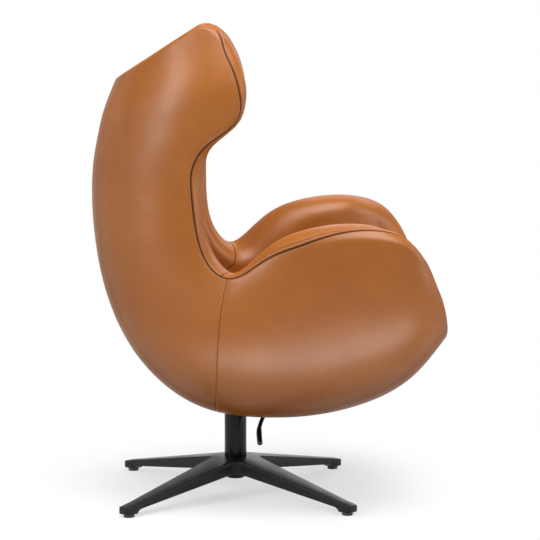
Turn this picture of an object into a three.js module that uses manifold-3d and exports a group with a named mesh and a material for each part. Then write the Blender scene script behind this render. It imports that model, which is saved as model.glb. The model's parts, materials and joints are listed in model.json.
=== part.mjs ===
// Swivel rocker: a high-backed upholstered shell chair that turns and rocks on a four-legged base.
// Millimetres, +Z up. The chair faces -Y and is alike on both sides of X = 0, apart from its lever.
// "Forward" is a distance from the column's axis towards the front of the chair.
import * as THREE from "three";
import { mergeVertices } from "three/addons/utils/BufferGeometryUtils.js";
import Module from "manifold-3d";

const wasm = await Module();
wasm.setup();

// Clearances shared by all the pieces
const seatGap = 0.3; // between two pieces that rest on each other
const runGap = 0.3; // around a shaft, bolt or pin in its hole
const overrun = 20; // how far a cutting tool runs past what it cuts

// Upholstered shell: its outer skin
const shellDepth = 794; // back of the shell to the front lip, along its middle
const shellRise = 850; // lowest point to the height of the top edge's corners
const shellGround = 188; // floor to the lowest point
const shellHalfWidth = 402;
const shellBehindColumn = 320;
const edgeRoll = 25; // how far the rolled edge stands past the skin's last line
const coverThickness = 10; // outer leather with its lining
const coreThickness = 9.7; // hard moulded shell
const rimPadding = 120; // whole thickness at the rolled edge
const deckPadding = 142; // whole thickness in the middle of the seat
const seamGap = 0.8; // between two covers along a seam
const seamDepth = 2.5; // chamfer that leads into the seam

// Opening under the shell, block inside it and the trim around the opening
const mouthHalfWidth = 80;
const mouthBehind = 88;
const mouthAhead = 138;
const mouthCorner = 26;
const collarWidth = 8;
const collarRecess = 1.5; // the trim stays this far inside the leather
const blockHalfWidth = 125;
const blockBehind = 112;
const blockAhead = 182;
const blockCorner = 30;
const blockOverPlate = 19; // wood above the seat plate

// Loose seat cushion
const cushionSideRoom = 98; // the cushion's sides stay this far inside the shell's widest point
const cushionBehind = 185;
const cushionAhead = 452;
const cushionTop = 440; // height of the top panel's edge
const cushionCrown = 26;
const cushionSide = 92; // height of the sides before the seat cuts them
const cushionBelly = 9; // how far the side stands out between its drawn-in edges
const cushionCornerShare = 0.42; // how round the cushion's corners are, seen from above
const cushionCrownShare = 0.7; // how evenly the crown reaches out to the edges
const bellyShares = [0.25, 0.5, 0.75]; // lines down the side

// Four-legged base
const legReach = 356;
const baseTurn = 1.3; // degrees that the base stands turned under the seat
const legRootWidth = 70;
const legTipWidth = 29;
const legTaperStart = 35; // distance from the axis where the taper starts
const legBevel = 2.5;
const hubTop = 83.5;
const hubUnder = 52.4;
const footTop = 22;
const footLength = 38;
const footUnder = 6.3;
const footChamfer = 5;
const archUnder = 15; // underside of the leg where it meets the foot
const glideRadius = 12;
const glideInset = 19; // from the foot's end to the glide's middle

// Column and the turning spindle in it
const columnRadius = 25;
const columnWall = 3;
const columnTop = 188;
const capRadius = 20.8;
const capHeight = 17.5;
const spindleRadius = 14;
const spindleFoot = 54.1;
const bushLength = 28;
const lowerBushFoot = 60;
const bushFlange = 3;
const washerHeight = 1.5;
const washerRadius = 23;
const shoulderRadius = 20;
const shoulderHeight = 5;
const neckRadius = 11;
const neckAboveNut = 6;
const nutRadius = 19.6;
const nutHeight = 12;
const clipHeight = 3;
const clipRadius = 19;

// Rocking mechanism
const panHalfWidth = 45;
const panWall = 4;
const panBehind = 58;
const panAhead = 92;
const panBackHeight = 15;
const pivotForward = 52;
const pivotAboveFloor = 35.3;
const pivotBoss = 15;
const shaftRadius = 9;
const sleeveRadius = 17;
const sleeveInner = 12; // from the middle to the rubber sleeve's inner end
const bushWall = 2.7;
const bushCollar = 1.5;
const bushCollarRadius = 15;
const earThickness = 5;
const earHalfLength = 22;
const shaftNutRadius = 14;
const shaftNutHeight = 8;
const shaftTail = 3;
const plateUnderPivot = 19; // from the pivot's axis up to the plate's underside
const plateThickness = 4;
const plateHalfWidth = 68;
const plateBehind = 74;
const plateAhead = 124;
const boltInset = 12;
const boltRadius = 4;
const boltHeadRadius = 7.2;
const boltHeadHeight = 5;
const boltReach = 14; // into the block
const stopForward = -38;
const stopRadius = 11;
const stopClear = 1.2; // left at full rock
const frontStopLength = 8;
const frontStopHalfWidth = 20;
const frontStopHeight = 10;
const sectorThickness = 3;
const sectorAcross = -9;
const sectorBehind = 63;
const sectorAhead = 72;
const sectorDrop = 50;
const rockDegrees = 12;
const bossShares = [0.15, 0.85]; // part of the half turn that the pan's boss takes up
const earShares = [1.05, 1.95]; // the same for the plate's ears, which hang down
const slotSide = 3; // the lever's tongue has this much room sideways
const slotEnd = 2; // and this much along the chair's depth

// Lock lever
const leverForward = 66;
const leverAcross = -34;
const leverUnderFloor = 10.7;
const leverRodRadius = 4.6;
const leverBarrelRadius = 6;
const leverBarrelHalf = 10;
const leverPinRadius = 3;
const bracketEar = 3;
const bracketBase = 3;
const bracketHalfWidth = 11;
const bracketDrop = 7;
const tongueThickness = 5;
const tongueHalfLength = 3;
const tongueRise = 26;
const tongueOffset = 12;
const tongueTip = 5;
const gripRadius = 6.3;
const gripLength = 62;
const leverOut = 116; // how far the lever's end stands out from its pin
const leverFall = 44; // how far it hangs below it
const leverSway = 13; // how far it swings back on its way out
// The rod's path from its pin to its end: shares of leverOut, leverSway and leverFall
const leverPathShares = [
  [0, 0, 0],
  [0.22, 0.5, 0.23],
  [0.52, 1, 0.52],
  [1, 0.95, 1],
];
const leverBoreShare = 0.05; // the grip's bore starts this far before the grip, along the path

// Stations along the shell, from the top edge (0) over the back and under the seat to the lip (12).
// Each row gives shares of depth, rise and half width: the middle line forward and up, the widest
// line forward and up, the half width, and the roundness of the section.
const stationShares = [
  [0.068, 0.887, 0.31, 1.028, 0.577, 2],
  [0.034, 0.807, 0.358, 0.909, 0.707, 2],
  [0.015, 0.734, 0.369, 0.821, 0.743, 2],
  [0.001, 0.649, 0.341, 0.725, 0.731, 2.05],
  [0, 0.545, 0.309, 0.62, 0.716, 2.1],
  [0.013, 0.427, 0.3, 0.52, 0.726, 2.2],
  [0.055, 0.278, 0.314, 0.439, 0.764, 2.25],
  [0.151, 0.128, 0.364, 0.381, 0.829, 2.3],
  [0.321, 0.019, 0.449, 0.376, 0.901, 2.35],
  [0.541, -0.003, 0.57, 0.422, 0.966, 2.4],
  [0.716, 0.02, 0.705, 0.463, 1, 2.4],
  [0.876, 0.09, 0.864, 0.449, 0.986, 2.35],
  [0.988, 0.212, 0.947, 0.377, 0.841, 2.3],
];
const lastStation = stationShares.length - 1;

// Where the skin ends on each side: station, and degrees of the section from the middle line
const rimDegrees = [
  [0, 95.7], [0.5, 95.3], [1, 95.2], [1.7, 95.2], [2.1, 95.5], [2.4, 93.5], [2.7, 85.3], [3, 81.7],
  [3.5, 81.2], [4, 83.4], [5, 86.9], [6, 90.2], [7, 93.6], [7.5, 96.5], [8, 99.8], [9, 97.8],
  [10, 95.3], [11, 95.8], [12, 94.2],
];
// Rolled edge: station, and share of edgeRoll
const rollShares = [
  [0, 0.5], [0.5, 1.09], [1, 1.2], [2, 0.99], [2.6, 0.88], [3.2, 1.13], [4, 1.2], [5, 1.13], [6, 1.14],
  [7, 1.23], [7.8, 1.84], [8.5, 1.94], [9.5, 1.64], [10.6, 1.15], [11.3, 0.68], [12, 0.53],
];
// Seam on the rolled edge: station, and degrees round the roll from the outside
const seamDegrees = [
  [0, 83.8], [0.25, 39.1], [0.5, 14], [0.9, 14.4], [1.6, 24], [2.2, 37.3], [2.7, 34.2], [3.1, 21.8],
  [3.6, 17.3], [5, 23.1], [6.3, 17.9], [7, 18.2], [9, 16.1], [10, 40], [11, 56], [12, 35.9],
];
// Padding at the edge: station, and share of rimPadding
const rimPaddingShares = [
  [0, 0.49], [1, 0.51], [2, 0.55], [3, 0.64], [4, 0.76], [5, 0.83], [6, 0.89], [7, 0.94], [8, 1.02],
  [9, 1.06], [10, 1.05], [11, 0.73], [12, 0.47],
];
// Padding along the middle: station, and share of deckPadding
const middlePaddingShares = [
  [0, 0.36], [1, 0.4], [2, 0.43], [3, 0.47], [4, 0.53], [5, 0.64], [6, 0.79], [7, 0.91], [8, 0.97],
  [9, 1], [10, 0.92], [11, 0.66], [12, 0.38],
];
const paddingFromShare = 0.15; // the middle padding starts to thin out here across a section
const paddingToShare = 0.82;

// Lines of the surface mesh: stations of the upper rows, and shares across half a section
const upperRows = [0, 0.25, 0.6, 1.1, 1.6, 2, 2.35, 2.7, 3.05, 3.6, 4.3, 5.1, 5.9, 6.75];
const middleRows = 3;
const lowerRows = 10;
const backRowsByCushion = 3; // rows of the back that the cushion's rear is cut along
const columnShares = [0, 0.15, 0.3, 0.45, 0.59, 0.72, 0.84, 0.93, 1];
const seamStationMiddle = 8.13; // station of the cover's upright seam on the middle line
const seamStationRise = 1.12; // stations it climbs on its way to the edge
const seamStationPower = 2.5;
// Rounded corners of the skin: stations, and share across the section
const earCorner = { stations: 0.42, share: 0.105 };
const armCorner = { stations: 0.6, share: 0.15 };

// Places that follow from the sizes above
const columnY = shellDepth / 2 - shellBehindColumn;
const coreDepth = coverThickness + seatGap;
const padDepth = coreDepth + coreThickness + seatGap;
const boreRadius = columnRadius - columnWall;
const flangeFoot = columnTop + seatGap;
const washerFoot = flangeFoot + bushFlange + seatGap;
const shoulderFoot = washerFoot + washerHeight + seatGap;
const panUnder = shoulderFoot + shoulderHeight + seatGap;
const panFloor = panUnder + panWall;
const nutFoot = panFloor + seatGap;
const pivotHeight = panFloor + pivotAboveFloor;
const plateUnder = pivotHeight + plateUnderPivot;
const plateTop = plateUnder + plateThickness;
const blockCeiling = plateTop + seatGap;
const blockTop = blockCeiling + blockOverPlate;
const leverHeight = panUnder - leverUnderFloor;

function place(across, forward, height) {
  return new THREE.Vector3(across, columnY - forward, height);
}

// Solids

function merged(geometry) {
  const plain = new THREE.BufferGeometry();
  plain.setAttribute("position", geometry.getAttribute("position"));
  if (geometry.index) plain.setIndex(geometry.index);
  return mergeVertices(plain, 1e-4);
}

function solid(geometry) {
  const closed = merged(geometry);
  const build = (triangles) =>
    new wasm.Manifold(
      new wasm.Mesh({
        numProp: 3,
        vertProperties: new Float32Array(closed.getAttribute("position").array),
        triVerts: triangles,
      }),
    );
  const triangles = new Uint32Array(closed.index.array);
  const made = build(triangles);
  if (made.volume() >= 0) return made;
  for (let i = 0; i < triangles.length; i += 3) {
    [triangles[i + 1], triangles[i + 2]] = [triangles[i + 2], triangles[i + 1]];
  }
  return build(triangles);
}

function geometryOf(body) {
  const mesh = body.getMesh();
  const stride = mesh.numProp;
  const positions = new Float32Array(mesh.numVert * 3);
  for (let i = 0; i < mesh.numVert; i++) {
    positions.set(mesh.vertProperties.subarray(i * stride, i * stride + 3), i * 3);
  }
  const geometry = new THREE.BufferGeometry();
  geometry.setAttribute("position", new THREE.BufferAttribute(positions, 3));
  geometry.setIndex(new THREE.BufferAttribute(new Uint32Array(mesh.triVerts), 1));
  return geometry;
}

function meshSolid(points, triangles) {
  const geometry = new THREE.BufferGeometry();
  geometry.setAttribute(
    "position",
    new THREE.Float32BufferAttribute(points.flatMap((p) => [p.x, p.y, p.z]), 3),
  );
  geometry.setIndex(triangles);
  return solid(geometry);
}

function block(across, forward, height) {
  const size = (pair) => pair[1] - pair[0];
  const middle = (pair) => (pair[0] + pair[1]) / 2;
  const geometry = new THREE.BoxGeometry(size(across), size(forward), size(height));
  const centre = place(middle(across), middle(forward), middle(height));
  geometry.translate(centre.x, centre.y, centre.z);
  return solid(geometry);
}

// A turned piece: profile points are [radius, height] and close on themselves or on the axis
function turned(profile, across = 0, forward = 0, segments = 24) {
  const points = profile.map(([radius, height]) => new THREE.Vector2(radius, height));
  const geometry = new THREE.LatheGeometry(points, segments);
  geometry.rotateX(Math.PI / 2);
  const centre = place(across, forward, 0);
  geometry.translate(centre.x, centre.y, 0);
  return solid(geometry);
}

function rod(radius, low, high, across = 0, forward = 0, segments = 24) {
  return turned([[0, low], [radius, low], [radius, high], [0, high]], across, forward, segments);
}

function ring(inner, outer, low, high, across = 0, forward = 0) {
  return turned([[inner, low], [outer, low], [outer, high], [inner, high], [inner, low]], across, forward);
}

// A turned piece on an axis that runs across the chair, through (forward, height)
function turnedAcross(profile, forward, height, segments = 20) {
  const points = profile.map(([radius, along]) => new THREE.Vector2(radius, along));
  const geometry = new THREE.LatheGeometry(points, segments);
  geometry.rotateZ(-Math.PI / 2);
  const centre = place(0, forward, height);
  geometry.translate(0, centre.y, centre.z);
  return solid(geometry);
}

function rodAcross(radius, from, to, forward, height, segments = 20) {
  return turnedAcross([[0, from], [radius, from], [radius, to], [0, to]], forward, height, segments);
}

function ringAcross(inner, outer, from, to, forward, height) {
  return turnedAcross(
    [[inner, from], [outer, from], [outer, to], [inner, to], [inner, from]],
    forward,
    height,
  );
}

// A rod that runs along the chair's depth, through (across, height)
function rodAlong(radius, from, to, across, height, segments = 16) {
  const geometry = new THREE.CylinderGeometry(radius, radius, to - from, segments);
  const centre = place(across, (from + to) / 2, height);
  geometry.translate(centre.x, centre.y, centre.z);
  return solid(geometry);
}

// An outline in the plane of forward and height, extruded across the chair
function sidePlate(outline, from, to) {
  const shape = new THREE.Shape(outline.map(([forward, height]) => new THREE.Vector2(forward, height)));
  const geometry = new THREE.ExtrudeGeometry(shape, { depth: to - from, bevelEnabled: false });
  // Shape x is forward (-Y), shape y is up, and the extrusion runs across.
  const turn = new THREE.Matrix4().set(0, 0, 1, from, -1, 0, 0, columnY, 0, 1, 0, 0, 0, 0, 0, 1);
  geometry.applyMatrix4(turn);
  return solid(geometry);
}

// A rectangle with round corners, seen from above, extruded up
function roundBlock(halfWidth, behind, ahead, corner, low, high) {
  const shape = new THREE.Shape();
  const turns = [
    [halfWidth - corner, ahead - corner, 0],
    [-halfWidth + corner, ahead - corner, 1],
    [-halfWidth + corner, -behind + corner, 2],
    [halfWidth - corner, -behind + corner, 3],
  ];
  turns.forEach(([x, forward, quarter]) => {
    shape.absarc(x, forward, corner, (quarter * Math.PI) / 2, ((quarter + 1) * Math.PI) / 2, false);
  });
  const geometry = new THREE.ExtrudeGeometry(shape, {
    depth: high - low,
    bevelEnabled: false,
    curveSegments: 4,
  });
  geometry.scale(1, -1, 1);
  geometry.translate(0, columnY, low);
  return solid(geometry);
}

// The shell's surface

function naturalSpline(knots, values) {
  const count = knots.length;
  const upper = new Array(count).fill(0);
  const right = new Array(count).fill(0);
  const bend = new Array(count).fill(0);
  for (let i = 1; i < count - 1; i++) {
    const before = knots[i] - knots[i - 1];
    const after = knots[i + 1] - knots[i];
    const pull = 6 * ((values[i + 1] - values[i]) / after - (values[i] - values[i - 1]) / before);
    const pivot = 2 * (before + after) - before * upper[i - 1];
    upper[i] = after / pivot;
    right[i] = (pull - before * right[i - 1]) / pivot;
  }
  for (let i = count - 2; i > 0; i--) bend[i] = right[i] - upper[i] * bend[i + 1];
  return (t) => {
    let i = 0;
    while (i < count - 2 && t > knots[i + 1]) i++;
    const width = knots[i + 1] - knots[i];
    const b = (t - knots[i]) / width;
    const a = 1 - b;
    const curve = (a ** 3 - a) * bend[i] + (b ** 3 - b) * bend[i + 1];
    return a * values[i] + b * values[i + 1] + (curve * width * width) / 6;
  };
}

const stationKnots = stationShares.map((row, i) => i);
const alongStations = (index, size, start) =>
  naturalSpline(stationKnots, stationShares.map((row) => row[index] * size + start));
const spineForward = alongStations(0, shellDepth, -shellBehindColumn);
const spineHeight = alongStations(1, shellRise, shellGround);
const wideForward = alongStations(2, shellDepth, -shellBehindColumn);
const wideHeight = alongStations(3, shellRise, shellGround);
const halfWidth = alongStations(4, shellHalfWidth, 0);
const roundness = alongStations(5, 1, 0);

const byStation = (table, size = 1) =>
  naturalSpline(table.map((row) => row[0]), table.map((row) => row[1] * size));
const rimDegree = byStation(rimDegrees);
const rollAt = byStation(rollShares, edgeRoll);
const seamDegree = byStation(seamDegrees);
const rimPaddingAt = byStation(rimPaddingShares, rimPadding);
const middlePaddingAt = byStation(middlePaddingShares, deckPadding);

// A point of the outer skin: s is the station, a runs from -1 to 1 across the section
function skinPoint(s, a) {
  const angle = THREE.MathUtils.degToRad(rimDegree(s)) * a;
  const n = roundness(s);
  const reach = (Math.abs(Math.sin(angle)) ** n + Math.abs(Math.cos(angle)) ** n) ** (-1 / n);
  const rise = 1 - reach * Math.cos(angle);
  const forward = spineForward(s) + rise * (wideForward(s) - spineForward(s));
  const height = spineHeight(s) + rise * (wideHeight(s) - spineHeight(s));
  return place(halfWidth(s) * reach * Math.sin(angle), forward, height);
}

function skinInward(s, a) {
  const step = 1e-3;
  const along = skinPoint(s + step, a).sub(skinPoint(s - step, a));
  const over = skinPoint(s, a + step).sub(skinPoint(s, a - step));
  return along.cross(over).normalize();
}

function smooth(from, to, value) {
  const t = Math.min(1, Math.max(0, (value - from) / (to - from)));
  return t * t * (3 - 2 * t);
}

function paddingAt(s, a) {
  const share = smooth(paddingFromShare, paddingToShare, Math.abs(a));
  return middlePaddingAt(s) * (1 - share) + rimPaddingAt(s) * share;
}

// Rounds one corner of the (station, across) rectangle; p and q are shares into the corner
function rounded(p, q) {
  return [p * Math.sqrt(1 - (q * q) / 2), q * Math.sqrt(1 - (p * p) / 2)];
}

function roundedCorner(s, a, corner, fromStation) {
  const side = Math.abs(a);
  const p = (corner.stations - Math.abs(s - fromStation)) / corner.stations;
  const q = (side - 1 + corner.share) / corner.share;
  if (p <= 0 || q <= 0) return [s, a];
  const [p2, q2] = rounded(p, q);
  const into = corner.stations * (1 - p2);
  return [
    fromStation === 0 ? into : fromStation - into,
    Math.sign(a) * (1 - corner.share + corner.share * q2),
  ];
}

const splitRow = upperRows.length - 1;
const seamRow = splitRow + middleRows;
const lastRow = seamRow + lowerRows;
const acrossShares = [...columnShares.slice(1).map((a) => -a).reverse(), ...columnShares];
const lastColumn = acrossShares.length - 1;

function rowStation(row, a) {
  if (row <= splitRow) return upperRows[row];
  const seam = seamStationMiddle - seamStationRise * Math.abs(a) ** seamStationPower;
  const split = upperRows[splitRow];
  if (row <= seamRow) return split + ((seam - split) * (row - splitRow)) / middleRows;
  return seam + ((lastStation - seam) * (row - seamRow)) / lowerRows;
}

const skin = [];
for (let i = 0; i <= lastRow; i++) {
  skin.push(
    acrossShares.map((share) => {
      let [s, a] = [rowStation(i, share), share];
      [s, a] = roundedCorner(s, a, earCorner, 0);
      [s, a] = roundedCorner(s, a, armCorner, lastStation);
      return { s, a, point: skinPoint(s, a), inward: skinInward(s, a), padding: paddingAt(s, a) };
    }),
  );
}

// The edge of the skin, once round: up the left side, along the top, down the right side, along the lip
const rim = [];
for (let i = lastRow; i > 0; i--) rim.push([i, 0]);
for (let j = 0; j < lastColumn; j++) rim.push([0, j]);
for (let i = 0; i < lastRow; i++) rim.push([i, lastColumn]);
for (let j = lastColumn; j > 0; j--) rim.push([lastRow, j]);
rim.forEach(([i, j], k) => {
  const here = skin[i][j];
  const at = (n) => {
    const [row, column] = rim[(n + rim.length) % rim.length];
    return skin[row][column].point;
  };
  const tangent = at(k + 1).clone().sub(at(k - 1)).normalize();
  const outward = tangent.clone().cross(here.inward).normalize();
  const innerRow = Math.min(Math.max(i, 1), lastRow - 1);
  const innerColumn = Math.min(Math.max(j, 1), lastColumn - 1);
  const inside = skin[innerRow][innerColumn].point;
  if (outward.dot(here.point.clone().sub(inside)) < 0) outward.negate();
  here.outward = outward;
  here.roll = rollAt(here.s);
  here.seam = seamDegree(here.s);
});

// A point of the rolled edge's section, [beyond the skin's edge, depth]: degrees from the outside,
// and how far it lies inside the roll
function rollPoint(vertex, degrees, inset) {
  const angle = THREE.MathUtils.degToRad(degrees - 90);
  const half = vertex.padding / 2;
  return [(vertex.roll - inset) * Math.cos(angle), half + (half - inset) * Math.sin(angle)];
}

function arc(vertex, from, to, steps, inset) {
  return Array.from({ length: steps + 1 }, (_, k) => {
    return rollPoint(vertex, from + ((to - from) * k) / steps, inset);
  });
}

function triangulated(section) {
  const flat = section.map(([x, y]) => new THREE.Vector2(x, y));
  const turn = Math.sign(THREE.ShapeUtils.area(flat));
  return THREE.ShapeUtils.triangulateShape(flat, []).map((t) => {
    const corners = t.map((n) => flat[n]);
    return Math.sign(THREE.ShapeUtils.area(corners)) === turn ? t : [t[0], t[2], t[1]];
  });
}

// A closed layer of the shell between two depths below its skin, from one row to another.
// edge gives the section's points beyond the skin's edge, and shift moves the two surfaces' ends.
function shellLayer({ outer, inner, from = 0, to = lastRow, edge = () => [], shift = [0, 0], gap = 0 }) {
  const points = [];
  const faces = [];
  const add = (point) => points.push(point) - 1;
  const quad = (a, b, c, d) => faces.push(a, b, c, a, c, d);
  const spot = (vertex, beyond, depth) => {
    const point = vertex.point.clone().addScaledVector(vertex.inward, depth);
    return beyond === 0 ? point : point.addScaledVector(vertex.outward, beyond);
  };
  const isCut = (i) => (i === from && from > 0) || (i === to && to < lastRow);
  // A row that is cut draws back from the cut by the gap.
  const drawnBack = (i, j, make) => {
    if (!isCut(i)) return make(skin[i][j]);
    const here = make(skin[i][j]);
    const next = make(skin[i === from ? i + 1 : i - 1][j]);
    return here.lerp(next, gap / here.distanceTo(next));
  };
  const surface = (depthOf, beyond) => {
    const rows = [];
    for (let i = from; i <= to; i++) {
      rows[i] = skin[i].map((vertex, j) =>
        add(drawnBack(i, j, (v) => spot(v, v.outward ? beyond : 0, depthOf(v)))),
      );
    }
    return rows;
  };
  const outside = surface(outer, shift[0]);
  const inside = surface(inner, shift[1]);
  for (let i = from; i < to; i++) {
    for (let j = 0; j < lastColumn; j++) {
      quad(outside[i][j], outside[i][j + 1], outside[i + 1][j + 1], outside[i + 1][j]);
      quad(inside[i][j], inside[i + 1][j], inside[i + 1][j + 1], inside[i][j + 1]);
    }
  }
  let chain = rim.filter(([i]) => i >= from && i <= to);
  const whole = from === 0 && to === lastRow;
  if (from > 0) {
    const turn = chain.findIndex(([i, j]) => i === from && j === lastColumn);
    chain = [...chain.slice(turn), ...chain.slice(0, turn)];
  }
  const flatSection = (vertex) => [[shift[0], outer(vertex)], ...edge(vertex), [shift[1], inner(vertex)]];
  const sections = chain.map(([i, j]) => {
    const count = edge(skin[i][j]).length;
    const between = Array.from({ length: count }, (_, m) =>
      add(drawnBack(i, j, (v) => spot(v, ...edge(v)[m]))),
    );
    return [outside[i][j], ...between, inside[i][j]];
  });
  // Each strip is split the same way on two faces that lie against each other, whichever way they run.
  const turnOf = (vertex) =>
    flatSection(vertex).map(([beyond, depth]) =>
      Math.atan2(depth - vertex.padding / 2, beyond + coverThickness),
    );
  const joins = whole ? sections.length : sections.length - 1;
  for (let k = 0; k < joins; k++) {
    const here = sections[k];
    const next = sections[(k + 1) % sections.length];
    const [row, column] = chain[k];
    const turn = turnOf(skin[row][column]);
    for (let m = 0; m < here.length - 1; m++) {
      if (turn[m + 1] > turn[m]) quad(next[m], here[m], here[m + 1], next[m + 1]);
      else quad(here[m], here[m + 1], next[m + 1], next[m]);
    }
  }
  if (!whole) {
    const cut = from > 0 ? from : to;
    for (let j = 0; j < lastColumn; j++) {
      const corners = [outside[cut][j], outside[cut][j + 1], inside[cut][j + 1], inside[cut][j]];
      if (from > 0) quad(corners[0], corners[3], corners[2], corners[1]);
      else quad(...corners);
    }
    [[0, true], [sections.length - 1, false]].forEach(([k, reversed]) => {
      const [i, j] = chain[k];
      triangulated(flatSection(skin[i][j])).forEach(([a, b, c]) => {
        const corners = reversed ? [a, c, b] : [a, b, c];
        faces.push(...corners.map((n) => sections[k][n]));
      });
    });
  }
  return { points, faces };
}

const made = (layer) => meshSolid(layer.points, layer.faces);

const seamTurn = (vertex, width) => THREE.MathUtils.radToDeg(width / (vertex.padding / 2));

// The layers under the skin end this far short of its edge.
const innerShift = -coverThickness / 8;

// Outer cover: over the skin and round the roll as far as the seam
function coverEdge(vertex) {
  const stop = vertex.seam - seamTurn(vertex, seamGap / 2);
  const chamfer = stop - seamTurn(vertex, seamDepth);
  return [
    rollPoint(vertex, chamfer / 2, 0),
    rollPoint(vertex, chamfer, 0),
    rollPoint(vertex, stop, seamDepth),
    rollPoint(vertex, stop, coverThickness),
    rollPoint(vertex, stop / 2, coverThickness),
    rollPoint(vertex, 0, coverThickness),
  ];
}

// The pads' part of the roll, from beside the seam to the inside
function padArc(vertex, inset) {
  const start = vertex.seam + seamTurn(vertex, seamGap / 2 + seamDepth);
  return arc(vertex, start, 180, 5, inset).slice(0, -1);
}

// Inner pads: from the shell's edge round the rest of the roll
function padEdge(vertex) {
  const start = vertex.seam + seamTurn(vertex, seamGap / 2);
  const under = start - seamTurn(vertex, seamGap);
  return [
    [innerShift + seatGap, padDepth],
    [innerShift + seatGap, coreDepth],
    rollPoint(vertex, 0, coreDepth),
    rollPoint(vertex, under / 2, coreDepth),
    rollPoint(vertex, start, coreDepth),
    rollPoint(vertex, start, seamDepth),
    ...padArc(vertex, 0),
  ];
}

function mouthTool() {
  return roundBlock(mouthHalfWidth, mouthBehind, mouthAhead, mouthCorner, shellGround - overrun, blockCeiling);
}

// The trim and the pocket share this opening, smaller than the mouth by the trim's width.
function pocketTool(low, high) {
  const inset = collarWidth;
  return roundBlock(
    mouthHalfWidth - inset,
    mouthBehind - inset,
    mouthAhead - inset,
    mouthCorner - inset,
    low,
    high,
  );
}

function outerCover(from, to) {
  const cover = shellLayer({
    outer: () => 0,
    inner: () => coverThickness,
    from,
    to,
    edge: coverEdge,
    shift: [0, innerShift],
    gap: seamGap / 2,
  });
  return made(cover).subtract(mouthTool());
}

function shellCore() {
  const core = shellLayer({
    outer: () => coreDepth,
    inner: () => coreDepth + coreThickness,
    shift: [innerShift, innerShift],
  });
  return boltPlaces().reduce(
    (shaped, [across, forward]) =>
      shaped.subtract(rod(boltRadius + runGap, plateUnder, plateTop + boltReach + runGap, across, forward, 16)),
    made(core).subtract(mouthTool()),
  );
}

function innerPad(from, to) {
  return made(
    shellLayer({
      outer: () => padDepth,
      inner: (vertex) => vertex.padding,
      from,
      to,
      edge: padEdge,
      shift: [innerShift, 0],
      gap: seamGap / 2,
    }),
  );
}

function innerSeatPad() {
  const pocket = roundBlock(
    blockHalfWidth + runGap,
    blockBehind + runGap,
    blockAhead + runGap,
    blockCorner + runGap,
    shellGround,
    blockTop + seatGap,
  );
  return innerPad(splitRow, lastRow).subtract(pocket);
}

// Everything outside a depth below the skin, to cut a piece to the shell's form
function outsideOf(depth) {
  return made(shellLayer({ outer: () => -4 * overrun, inner: () => depth }));
}

function mountingBlock() {
  const body = roundBlock(blockHalfWidth, blockBehind, blockAhead, blockCorner, shellGround, blockTop);
  const pocket = pocketTool(shellGround - overrun, blockCeiling);
  let shaped = body.subtract(pocket).subtract(outsideOf(padDepth));
  boltPlaces().forEach(([across, forward]) => {
    const hole = rod(boltRadius + runGap, shellGround, plateTop + boltReach + runGap, across, forward, 16);
    shaped = shaped.subtract(hole);
  });
  return shaped;
}

function bottomCollar() {
  const frame = roundBlock(
    mouthHalfWidth - seatGap,
    mouthBehind - seatGap,
    mouthAhead - seatGap,
    mouthCorner - seatGap,
    shellGround - overrun,
    blockCeiling,
  );
  const hollow = pocketTool(shellGround - 2 * overrun, blockCeiling + overrun);
  const band = made(shellLayer({ outer: () => collarRecess, inner: () => padDepth - seatGap }));
  return frame.subtract(hollow).intersect(band);
}

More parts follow.
